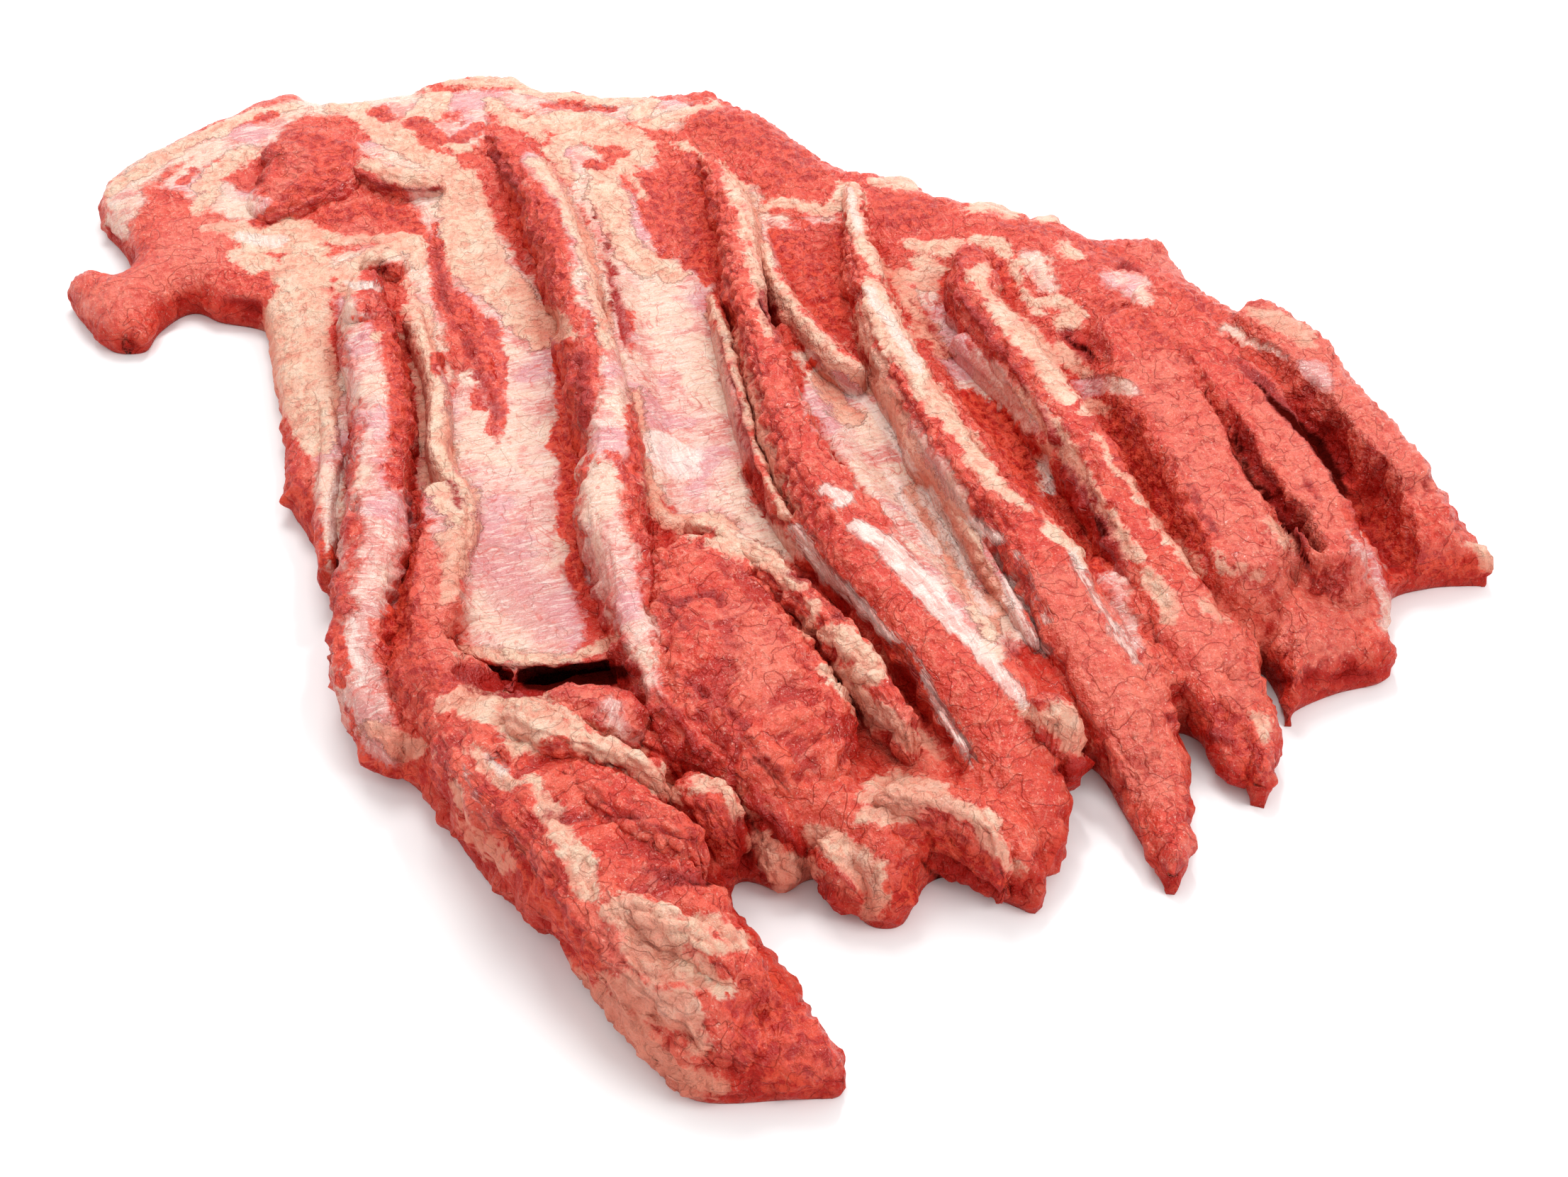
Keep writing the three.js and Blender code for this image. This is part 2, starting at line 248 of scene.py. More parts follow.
# %% The edge
BED = 25.0
RIM_REACH = 24.0
RIM_SHARE = 0.5
EDGE = [
    (12, [(-372, 197), (-362, 211), (-345, 207), (-344, 222), (-358, 247), (-370, 265), (-375, 290),
          (-364, 314), (-350, 333), (-338, 350), (-318, 368), (-300, 387), (-285, 392)]),
    (18, [(-266, 389), (-240, 395), (-222, 399), (-212, 413), (-190, 421), (-162, 422), (-142, 404),
          (-122, 404), (-100, 397), (-75, 400), (-45, 405), (-32, 396), (-12, 372), (4, 354),
          (22, 326), (40, 310), (70, 307), (82, 291), (98, 281), (115, 284), (132, 269), (148, 271),
          (162, 250), (185, 251), (203, 246), (210, 220), (222, 193)]),
    (25, [(236, 184), (254, 186), (264, 165), (277, 140), (283, 105), (296, 72), (306, 45)]),
    (14, [(310, 12), (316, -8)]),
    (3, [(312, -30), (286, -33), (266, -42), (258, -68), (255, -90), (232, -99), (214, -109),
         (207, -119), (203, -95), (199, -84), (197, -104), (201, -128), (195, -156), (186, -163),
         (182, -146), (172, -130), (160, -122), (161, -150), (160, -174), (154, -200), (146, -207),
         (140, -190), (133, -168), (123, -141), (111, -148), (108, -172), (101, -200), (97, -216),
         (82, -211), (66, -199), (55, -204), (46, -222), (30, -222), (14, -200), (0, -207),
         (-16, -201), (-19, -216), (-4, -243), (14, -275), (22, -297), (0, -301), (-32, -301),
         (-50, -283), (-66, -256), (-89, -226), (-112, -205), (-132, -176), (-149, -152),
         (-168, -136), (-182, -104), (-193, -72), (-197, -38), (-216, 0), (-230, 26), (-234, 60),
         (-247, 105), (-258, 150), (-266, 163)]),
    (5, [(-290, 173), (-304, 181), (-315, 166), (-320, 148), (-338, 147), (-354, 164)]),
]
edge_places = [slide(x, y, height) for height, stretch in EDGE for x, y in stretch]
edge = rounded(edge_places, 6, closed=True)
edge_size = edge.max(0) - edge.min(0)
print("edge points", len(edge), "size in mm", edge_size.round())

# %% [markdown]
# Fat, film and lean don't follow the forms: they are torn fields across them. Each field is a
# set of strokes on the plan, whose points are x, y and half width. Film is thin skin, white is
# tendon and red is dark lean that shows through. Deep is a crease, cut in and given painted
# shade; pit is a hole, cut in a little and painted near black as painted shade inside it; pale
# is faded lean and dull film, and on some slopes that the lamps leave dark it is painted light.
# They are known before any form is made, because lean is kernelled, fat is lumpy and film is
# smooth, and deep places are really cut into the surface.

# %% The strokes
FILM = [
    [(-152, 120, 8), (-150, 80, 12), (-132, 20, 16), (-118, -35, 24), (-110, -60, 22), (-100, -72, 12)],
    [(-125, 150, 9), (-120, 60, 13), (-108, -10, 11)],
    [(-55, 200, 16), (-58, 170, 19), (-45, 80, 25), (-42, 50, 23), (-35, 30, 17), (-15, 5, 13),
     (0, -8, 7)],
    [(15, 140, 8), (25, 120, 15), (32, 95, 19), (60, 25, 15), (88, -72, 6)],
    [(72, 200, 4), (80, 165, 6), (98, 120, 12), (118, 85, 7)], [(145, -25, 4), (150, -68, 2)],
    [(-226, 190, 4), (-198, 90, 5), (-194, 40, 3)], [(-214, 125, 6), (-214, 60, 6), (-200, -20, 3)],
    [(-182, 30, 4), (-178, 10, 8), (-182, -30, 8), (-178, -45, 7)],
    [(-188, -60, 5), (-180, -100, 7), (-162, -138, 5)], [(-130, 310, 3), (-115, 270, 6), (-93, 155, 5)],
    [(-88, 130, 4), (-82, 85, 7), (-94, 58, 5), (-80, 0, 9), (-52, -100, 2)],
    [(-338, 300, 5), (-328, 330, 6), (-315, 348, 8), (-298, 352, 8), (-290, 372, 6)],
    [(-195, 362, 8), (-182, 352, 8), (-178, 372, 6), (-186, 392, 6)], [(-68, 385, 5), (-66, 368, 6)],
    [(-80, 335, 5), (-78, 322, 4)], [(132, 230, 7), (138, 200, 4)],
    [(-357, 285, 5), (-362, 262, 6), (-352, 250, 4)], [(225, 165, 3), (250, 140, 2)],
    [(262, 132, 5), (266, 115, 3)], [(261, 5, 2), (264, -45, 3), (260, -58, 2)],
    [(-72, -106, 3), (-68, -122, 4)], [(150, 116, 7), (160, 118, 7), (168, 112, 4)],
    [(-10, 270, 5), (10, 262, 4), (25, 268, 4)], [(170, 212, 6), (182, 205, 8), (186, 192, 5)],
    [(-146, 300, 3), (-132, 225, 2)], [(-363, 281, 9), (-361, 312, 11), (-344, 335, 12),
     (-303, 363, 8)],
    [(-328, 303, 10), (-306, 286, 12), (-287, 273, 9)],
    [(-294, 382, 7), (-261, 389, 10), (-226, 387, 12), (-157, 397, 10), (-126, 382, 12), (-87, 382, 12),
     (-62, 387, 7)],
    [(-234, 340, 8), (-202, 312, 12), (-153, 207, 18), (-130, 150, 17), (-121, 87, 17),
     (-119, -24, 14)],
    [(-236, 223, 6), (-223, 231, 8), (-205, 231, 7), (-189, 211, 6), (-161, 48, 8), (-148, -1, 8)],
    [(-123, 340, 10), (-101, 294, 13), (-51, 143, 20), (-37, 36, 17)],
    [(-142, 330, 5), (-118, 277, 6), (-86, 165, 6), (-81, 114, 8), (-84, 23, 9), (-77, -24, 8)],
    [(-215, 172, 4), (-196, 87, 6), (-193, 48, 6), (-182, -1, 8), (-181, -35, 8)],
    [(-21, 294, 5), (-11, 243, 6), (-11, 203, 5)], [(-184, -41, 2.5), (-177, -90, 4), (-161, -131, 4)],
    [(26, 118, 14), (57, 51, 18), (81, -15, 14), (96, -65, 7)],
]
FAT = [
    [(-256, 250, 8), (-252, 220, 13), (-248, 160, 17), (-232, 105, 15), (-222, 70, 5)],
    [(-308, 258, 4), (-278, 246, 10), (-268, 262, 6)], [(-285, 232, 7), (-274, 222, 8)],
    [(-262, 250, 8), (-258, 262, 5)],
    [(-372, 292, 4), (-364, 312, 6), (-338, 348, 6), (-302, 380, 5), (-288, 386, 4)],
    [(-320, 300, 7), (-305, 335, 7)], [(-316, 290, 6), (-318, 276, 5)],
    [(-262, 388, 7), (-248, 384, 8), (-228, 358, 9), (-192, 318, 6)],
    [(-240, 324, 3), (-208, 308, 9), (-190, 304, 7)], [(-203, 400, 6), (-205, 385, 9), (-218, 358, 8)],
    [(-192, 346, 5), (-184, 340, 5)],
    [(-178, 312, 6), (-176, 290, 11), (-168, 240, 15), (-158, 215, 14), (-135, 180, 11),
     (-124, 150, 6)],
    [(-196, 414, 5), (-176, 418, 6), (-158, 414, 7), (-146, 404, 5)],
    [(-172, 394, 4), (-162, 378, 6), (-138, 352, 4)],
    [(-140, 402, 5), (-110, 392, 5), (-92, 396, 6), (-78, 392, 5), (-84, 378, 6)],
    [(-148, 370, 6), (-130, 366, 9), (-112, 368, 10), (-98, 362, 8), (-102, 350, 7), (-118, 354, 8),
     (-130, 340, 6), (-120, 308, 4)], [(-104, 320, 5), (-94, 280, 9), (-86, 244, 8), (-58, 212, 6)],
    [(-90, 326, 4), (-82, 314, 3), (-76, 286, 2)], [(-60, 345, 3), (-50, 335, 3), (-40, 290, 2)],
    [(-36, 325, 2), (-26, 285, 3), (-8, 160, 2)],
    [(-12, 276, 3), (0, 284, 4), (22, 272, 5), (32, 282, 5), (36, 298, 5)],
    [(36, 300, 5), (42, 245, 4), (52, 215, 5)],
    [(-12, 242, 4), (-10, 220, 4), (3, 180, 6), (18, 150, 6), (46, 112, 4), (50, 98, 3)],
    [(50, 306, 3), (65, 303, 6), (72, 300, 4)], [(104, 276, 5), (116, 280, 7), (124, 272, 5)],
    [(141, 268, 5), (148, 266, 3)], [(68, 242, 5), (84, 238, 8), (92, 244, 4)],
    [(72, 225, 6), (80, 215, 6), (76, 205, 5), (62, 214, 5)],
    [(104, 246, 4), (114, 242, 6), (118, 232, 4)],
    [(150, 240, 4), (154, 234, 5)], [(104, 216, 5), (103, 200, 4), (126, 148, 7), (136, 105, 4)],
    [(132, 188, 4), (145, 186, 6), (146, 172, 6), (140, 166, 4)],
    [(124, 225, 3), (120, 212, 2), (130, 180, 3)], [(138, 150, 4), (148, 126, 4)],
    [(60, 210, 4), (70, 170, 5), (82, 142, 3)], [(118, 112, 4), (126, 80, 3), (120, 38, 2)],
    [(46, 205, 6), (52, 165, 8), (96, 44, 4)], [(100, 38, 3), (118, 18, 3)],
    [(120, 12, 2), (134, -14, 3)],
    [(-37, 190, 3), (0, 16, 2.5)], [(38, 172, 3), (61, 60, 3), (84, 0, 4), (95, -45, 4)],
    [(128, 88, 3), (144, 20, 5), (158, -12, 3)],
    [(160, -22, 3), (164, -34, 5), (168, -44, 3), (166, -56, 2)],
    [(146, 92, 2), (152, 100, 3), (156, 92, 2)], [(150, 76, 3), (174, 0, 2)],
    [(178, -8, 1.5), (182, -24, 1.5)], [(192, -8, 2), (197, -22, 2)], [(204, -16, 2), (208, -26, 1.5)],
    [(184, -42, 1.5), (188, -54, 2)], [(220, 16, 2.5), (230, -6, 3)],
    [(-194, 180, 2), (-186, 170, 3), (-160, 45, 8), (-143, 8, 6)],
    [(-150, 0, 6), (-146, -15, 6), (-147, -42, 2)], [(-202, 238, 3), (-224, 222, 4), (-226, 194, 4)],
    [(-196, 206, 2), (-187, 180, 2)], [(-206, 158, 4), (-190, 157, 2)],
    [(-72, 110, 3), (-64, 45, 3), (-55, 15, 4), (-46, 8, 4)], [(-42, 10, 7), (-30, 12, 7), (-27, 4, 5)],
    [(-30, -3, 4), (-8, -14, 6), (6, -32, 4)], [(12, -42, 3), (10, -62, 3)],
    [(18, -62, 5), (28, -68, 7), (38, -88, 6), (30, -88, 5)],
    [(20, -85, 3), (42, -116, 4), (60, -132, 3)],
    [(36, -150, 4), (48, -152, 6), (78, -166, 2.5), (88, -196, 2)], [(34, -166, 5), (58, -160, 4)],
    [(14, -178, 5), (32, -194, 8), (36, -206, 7), (32, -216, 4)],
    [(-8, -180, 4), (0, -199, 8), (8, -196, 5)],
    [(100, -106, 2), (106, -112, 5), (114, -112, 6), (119, -130, 3)],
    [(-34, -148, 3), (-26, -150, 4), (-16, -166, 3)],
    [(-140, -96, 2), (-108, -104, 7), (-104, -116, 8), (-108, -128, 7), (-98, -112, 7)],
    [(-124, -134, 4), (-110, -148, 3)], [(-90, -118, 5), (-58, -140, 5), (-46, -155, 2)],
    [(-102, -146, 3), (-73, -208, 4)], [(-64, -216, 6), (-54, -218, 10), (-40, -240, 8),
     (-22, -252, 4)],
    [(-36, -224, 7), (-26, -222, 6), (-20, -228, 4)], [(-60, -246, 4), (-34, -270, 3)],
    [(-80, -244, 3), (-54, -268, 4), (-38, -290, 6), (-24, -296, 5)], [(-30, -276, 4), (-36, -262, 4)],
    [(-120, -178, 4), (-108, -192, 3)], [(308, -4, 3), (313, -10, 5), (312, -18, 3)],
    [(242, 178, 4), (252, 172, 7), (264, 150, 4)], [(196, -110, 1.5), (198, -125, 1.5)],
    [(-136, -73, 3), (-100, -79, 4), (-85, -75, 3), (-74, -66, 3)],
    [(-293, 256, 4), (-277, 239, 5), (-261, 239, 7), (-254, 251, 6), (-242, 247, 4)],
    [(-263, 215, 6), (-237, 121, 12), (-219, 67, 6)],
    [(-191, 326, 6), (-178, 294, 9), (-165, 231, 13), (-136, 184, 10), (-119, 169, 9), (-110, 157, 5)],
    [(-232, 247, 3), (-198, 247, 4), (-187, 231, 2.5)],
    [(-185, 180, 4), (-165, 67, 5), (-147, 26, 5), (-145, -24, 4)],
    [(-139, 326, 4), (-111, 256, 4), (-88, 150, 3)],
    [(-131, 378, 6), (-92, 354, 9), (-79, 335, 7), (-93, 317, 5)],
    [(-96, 294, 6), (-92, 260, 7), (-83, 233, 7), (-71, 215, 5)], [(-76, 368, 5), (-42, 387, 4)],
    [(-31, 312, 3), (-19, 277, 4), (-6, 165, 3)], [(-137, -102, 6), (-96, -123, 7), (-92, -115, 5)],
    [(-85, -129, 2.5), (-59, -144, 3), (-44, -160, 1.5)],
    [(-63, -214, 5), (-53, -217, 7), (-43, -225, 6), (-22, -232, 3), (-17, -227, 2)],
    [(-58, -233, 4), (-48, -241, 6), (-23, -251, 3)], [(-65, -246, 3), (-47, -261, 6), (-38, -256, 4)],
    [(-78, -246, 2), (-45, -282, 5), (-25, -298, 3)], [(-51, -289, 2.5), (-40, -298, 3)],
    [(34, -156, 4), (69, -164, 3), (87, -195, 1.5)], [(41, -170, 2.5), (51, -168, 2.5)],
    [(102, -112, 4), (111, -116, 6), (117, -128, 4)], [(-132, -150, 2), (-116, -185, 1.5)],
    [(-170, -119, 4), (-151, -133, 4)], [(-36, -153, 2.5), (-24, -157, 4), (-17, -167, 2.5)],
    [(-232, 197, 2.5), (-230, 219, 4), (-219, 234, 4), (-202, 241, 4), (-191, 223, 2.5)],
    [(20, 121, 5), (32, 91, 6)], [(60, 33, 6), (89, -60, 4)],
]
WHITE = [
    [(4, 8, 2.5), (18, -22, 4), (50, -72, 2.5), (76, -138, 2)],
    [(34, 10, 4), (54, -18, 7), (100, -106, 2)],
    [(20, 36, 4), (28, 30, 5), (24, 24, 3)], [(86, 14, 3), (97, -2, 3)],
    [(98, -25, 3), (103, -58, 5), (111, -74, 2)], [(104, -10, 1), (114, -55, 1)],
    [(128, -10, 1.5), (149, -80, 1.5)], [(-60, 72, 8), (-52, 60, 12), (-46, 50, 8)],
    [(122, 60, 2), (122, 34, 3)], [(-228, 205, 2), (-218, 200, 4), (-212, 198, 2)],
    [(-290, 248, 5), (-272, 244, 6)], [(-205, 60, 1.5), (-208, 30, 2), (-203, -5, 1.5)],
    [(-112, -142, 3), (-118, -136, 2.5)], [(36, 296, 2.5), (42, 250, 2)], [(44, 200, 3), (66, 128, 3)],
    [(-120, -155, 1), (-98, -196, 1)], [(-128, -140, 1), (-116, -166, 1)],
    [(-187, -56, 1.5), (-178, -93, 2)], [(22, 125, 2), (43, 97, 3), (61, 51, 2.5)],
    [(66, 33, 4), (88, -49, 2)], [(47, 51, 2), (68, -9, 2.5)],
]
RED = [
    [(-188, 262, 2), (-176, 195, 6), (-160, 165, 8), (-152, 158, 10), (-137, 85, 3)],
    [(-172, 140, 4), (-172, 128, 3)], [(-150, 110, 4), (-148, 98, 3)],
    [(-112, 150, 3), (-106, 110, 6), (-100, 30, 5), (-90, -30, 3)],
    [(-85, 54, 2.5), (-80, 60, 3), (-72, 42, 3)], [(-76, 100, 2), (-68, 45, 2.5)],
    [(-32, 195, 3), (-26, 170, 4)], [(14, 136, 3), (12, 130, 3)], [(14, 90, 2), (18, 84, 2)],
    [(90, 108, 5), (104, 86, 9), (110, 50, 5)], [(112, 40, 4), (118, 12, 3)],
    [(130, 40, 5), (142, -18, 6)],
    [(165, 90, 9), (162, 70, 9), (180, 10, 8), (186, 0, 6)],
    [(-234, 56, 3), (-222, 20, 7), (-208, -14, 4)],
    [(-140, 290, 8), (-132, 270, 9), (-117, 205, 4)],
    [(5, 228, 7), (14, 228, 7), (18, 205, 9), (26, 165, 6)], [(5, 265, 4), (14, 258, 4)],
    [(5, 250, 4), (10, 240, 4)], [(28, 252, 3), (30, 236, 3)],
    [(-60, 320, 6), (-50, 245, 8), (-40, 208, 4)], [(-75, 284, 4), (-70, 268, 6), (-64, 232, 4)],
    [(-108, 324, 5), (-102, 322, 5)], [(-120, 390, 4), (-140, 388, 4), (-100, 384, 3)],
    [(-235, 382, 7), (-230, 374, 5)], [(-306, 368, 4), (-296, 376, 4)],
    [(-331, 318, 3), (-333, 304, 3)],
    [(-345, 262, 2), (-340, 226, 2)], [(88, 212, 4), (84, 205, 3)],
    [(95, 226, 4), (100, 236, 3), (112, 222, 4), (114, 206, 4)],
    [(160, 240, 6), (172, 234, 8), (178, 225, 6)], [(160, 215, 5), (168, 222, 4)],
    [(160, 190, 5), (190, 158, 7)], [(205, 205, 4), (220, 175, 5)],
    [(-15, -262, 8), (-4, -274, 14), (6, -288, 12)], [(-122, -147, 3), (-110, -170, 6), (-72, -238, 5)],
    [(50, -176, 6), (64, -180, 7), (84, -200, 5)], [(45, -195, 6), (48, -208, 7)],
    [(-94, -132, 4), (-90, -126, 3)], [(48, -72, 4), (56, -106, 5), (62, -120, 3)],
    [(104, -16, 2), (112, -48, 2)], [(262, 20, 5), (272, 0, 10), (284, -14, 11), (302, -22, 7)],
    [(180, -112, 8), (188, -128, 8), (190, -145, 6)], [(-272, 212, 4), (-268, 200, 3)],
    [(-30, -160, 8), (-28, -178, 8)],
    [(-40, 372, 14), (-20, 355, 16), (0, 335, 13), (10, 315, 10), (-8, 308, 8)],
    [(60, 282, 10), (80, 276, 8), (60, 264, 8)], [(120, 258, 7), (140, 255, 6)],
    [(-282, 354, 7), (-264, 344, 11), (-251, 321, 12), (-285, 262, 4)],
    [(-246, 270, 6), (-230, 275, 7), (-210, 270, 6), (-197, 256, 5)],
    [(-190, 251, 2.5), (-178, 195, 2.5)],
    [(-170, 195, 3), (-158, 172, 5), (-148, 136, 5), (-137, 74, 2.5)],
    [(-159, 340, 4), (-138, 260, 7), (-119, 195, 4)],
    [(-217, 172, 2.5), (-203, 165, 4), (-193, 136, 4), (-185, 74, 4)], [(-107, 150, 3), (-100, 23, 3)],
    [(-78, 312, 4), (-57, 247, 4)], [(-53, 330, 6), (-42, 294, 6), (-38, 256, 5), (-40, 223, 2.5)],
    [(-102, 180, 3), (-96, 150, 3), (-96, 36, 3)], [(-79, 180, 2), (-80, 157, 2.5)],
    [(-213, 368, 7), (-192, 349, 6), (-174, 363, 5)], [(-2, 251, 6), (7, 219, 5)],
    [(-94, -138, 2), (-86, -134, 2.5)], [(-10, -246, 6), (12, -282, 7), (-4, -292, 6), (-15, -273, 5)],
    [(-181, -107, 1.5), (-168, -135, 1.5)], [(-202, -5, 1.5), (-195, -41, 1.5)],
    [(-173, -45, 2), (-163, -93, 2.5), (-152, -107, 2.5)],
    [(-168, -5, 3), (-160, -64, 7), (-152, -86, 7), (-141, -93, 5)], [(-194, -60, 3), (-185, -93, 3)],
    [(-176, -123, 4), (-168, -137, 4), (-156, -145, 5), (-142, -146, 6)],
]
# Creases: cut into the surface, and painted dark red as painted shade.
SHADED_CREASES = [
    [(-186, 240, 1), (-172, 182, 2.5)], [(-162, 162, 2), (-139, 88, 1.5)],
    [(-96, 250, 2), (-85, 180, 3), (-75, 140, 1)], [(-100, 140, 2.5), (-93, 80, 1.5)],
    [(-12, 198, 2), (-8, 184, 4), (-2, 155, 1.5)], [(-34, 160, 0.5), (-13, 40, 2.5), (-4, 12, 1.5)],
    [(66, 190, 1.5), (84, 138, 1.5)], [(92, 190, 3), (118, 122, 2), (130, 70, 2.5)],
    [(133, 50, 4), (147, -2, 5), (148, -14, 3)], [(142, 160, 4), (152, 138, 4)],
    [(226, 138, 2), (253, 76, 8), (262, 44, 4)], [(264, 16, 3), (272, -20, 4)],
    [(214, 82, 3), (231, 8, 4), (232, -30, 1.5)], [(6, -24, 3), (12, -26, 4)],
    [(96, -68, 2.5), (99, -75, 2)], [(22, -42, 2.5), (26, -48, 2.5)], [(48, -84, 3), (58, -116, 2)],
    [(-52, -100, 2), (-28, -142, 2)], [(-45, -88, 2.5), (-15, -116, 2.5)],
    [(-16, -168, 3), (-16, -195, 4)],
    [(-10, -160, 2), (8, -186, 2)], [(58, -190, 3), (82, -206, 3)],
    [(112, -142, 4), (118, -138, 4), (126, -140, 2)], [(204, -92, 2), (245, -88, 4)],
    [(182, -126, 3), (176, -122, 3)], [(160, -112, 3)],
    [(-134, -84, 5), (-120, -92, 8), (-98, -92, 10), (-66, -86, 8)],
    [(-238, 309, 1.5), (-232, 310, 3), (-216, 297, 2), (-190, 297, 2)],
    [(-280, 262, 1.5), (-240, 302, 1.5)], [(-214, 216, 2), (-206, 221, 2.5)],
    [(-290, 186, 3), (-276, 186, 4), (-270, 176, 4)], [(-26, 322, 2), (-18, 312, 2)],
    [(-54, 264, 1.5), (-52, 246, 1.5)], [(-104, 276, 1.5), (-103, 268, 2)],
    [(-172, 338, 1), (-160, 328, 2.5), (-144, 296, 1.5)], [(178, 222, 3), (186, 218, 3)],
    [(182, 98, 1), (184, 60, 1), (196, 0, 1.5)], [(-156, 42, 1), (-150, 24, 1)],
    [(243, 48, 1), (248, 28, 1.5)], [(-54, -170, 1), (-33, -183, 1.5)], [(-21, -117, 1), (1, -150, 1)],
    [(-20, -292, 1.5), (-17, -279, 1)], [(-7, -282, 0.5), (9, -276, 0.5)],
    [(-92, -168, 2.5), (-57, -167, 2)], [(-50, -193, 2.5), (-36, -200, 4), (-23, -197, 2.5)],
    [(-57, -13, 1), (-50, -19, 1), (-43, -17, 1)], [(-45, -41, 1), (-32, -37, 1.5), (-24, -45, 1)],
    [(-53, -37, 1), (-45, -56, 1)], [(-29, -64, 0.5), (-18, -71, 1), (-13, -68, 0.5)],
]
# Faded lean and dull film. On the slopes at the right the lean is painted lighter, as painted light
# where the lamps leave shade.
PALE_AND_LIT = [
    [(185, 130, 14), (225, -60, 18)], [(232, 100, 8), (248, 10, 12), (245, -40, 14)],
    [(-158, 0, 8), (-152, -60, 14), (-138, -95, 12)], [(120, -30, 12), (135, -80, 14), (148, -150, 12)],
    [(180, -60, 16), (190, -100, 8)], [(-315, 250, 18), (-320, 215, 16), (-350, 185, 14)],
    [(-16, -50, 12), (-8, -80, 14), (-4, -100, 10)],
    [(-270, 345, 14), (-262, 320, 16), (-275, 290, 10)],
    [(-235, 280, 8), (-228, 255, 9), (-215, 245, 8)], [(-129, -9, 11), (-116, -37, 13), (-101, -60, 8)],
    [(-183, -50, 8), (-173, -104, 10), (-159, -133, 7)], [(-60, -226, 14), (-35, -286, 10)],
    [(27, -200, 7)], [(40, -160, 9), (63, -162, 8)], [(47, -117, 12), (55, -142, 9)],
    [(228, 207, 12), (196, 239, 12), (277, 139, 7)], [(137, -54, 15), (151, -96, 13)],
    [(182, -49, 15), (202, -65, 11)], [(-95, -104, 4), (-78, -107, 6), (-59, -121, 5)],
    [(262, 150, 14), (288, 80, 16), (296, 40, 14)], [(-67, -256, 6), (-30, -293, 6)],
]

# Holes and clefts: cut in a little and painted near black, as painted shade inside them.
SHADED_HOLES = [
    [(-106, -90, 5), (-92, -90, 7), (-76, -88, 7), (-68, -86, 5)], [(-11, 192, 1.5), (-7, 176, 2)],
    [(143, 158, 2), (150, 145, 3), (155, 137, 2)], [(213, 84, 1.5), (218, 45, 2.5), (223, 29, 2)],
    [(225, 23, 1.5), (232, -9, 2.5), (234, -24, 2)],
    [(231, 118, 2), (239, 103, 3), (248, 81, 4), (257, 51, 4), (261, 30, 2)],
    [(143, 16, 2), (147, 2, 2.5)],
    [(7, -24, 2), (11, -26, 2)], [(-14, -182, 2), (-12, -192, 2)],
    [(-16, -165, 1), (-9, -177, 1.5), (-3, -185, 1)],
    [(-40, -197, 1), (-30, -202, 1.5), (-23, -200, 1)],
    [(53, -189, 1), (59, -200, 1.5)], [(-14, -132, 0.5), (4, -157, 1)],
    [(-68, -176, 0.5), (-59, -178, 1)],
]
LAYERS = {"film": FILM, "fat": FAT, "white": WHITE, "red": RED, "deep": SHADED_CREASES, "pale": PALE_AND_LIT,
          "pit": SHADED_HOLES}


def deepest(places, strokes):
    """How deep each plan place lies in the nearest of some strokes, in mm."""
    field = np.full(len(places), -15.0)
    for stroke in strokes:
        smooth = rounded(stroke, 3) if len(stroke) > 2 else stroke
        field = np.maximum(field, reach_in(places, smooth))
    return field


print("strokes", {label: len(strokes) for label, strokes in LAYERS.items()})

# %% [markdown]
# A mesh is written once from its bmesh. Before that its surface is pushed in and out along its
# own normals: cut lean gets packed kernels, fat gets soft lumps, film gets fine wrinkles. How
# far each point moved is stored with it, with the depths of the strokes and the steepness, and
# colours follow from them: a colour that follows the flesh must not depend on where the camera
# is. The relief paints light on crests and shade in creases, and the steepness paints shade on
# the sides.

# %% Making a piece
SKIN_ROOM = 0.1
UNREACHED = -15
CLIMB = (0.5, 0.8)

pieces = []
inside_low = np.array(cad_box[0]) / MM + SKIN_ROOM
inside_high = np.array(cad_box[1]) / MM - SKIN_ROOM


def as_array(shape):
    """The places of a bmesh's points."""
    return np.array([v.co for v in shape.verts], float)


def put_back(shape, places):
    """Moves a bmesh's points to the given places."""
    for vert, place in zip(shape.verts, places.tolist()):
        vert.co = place


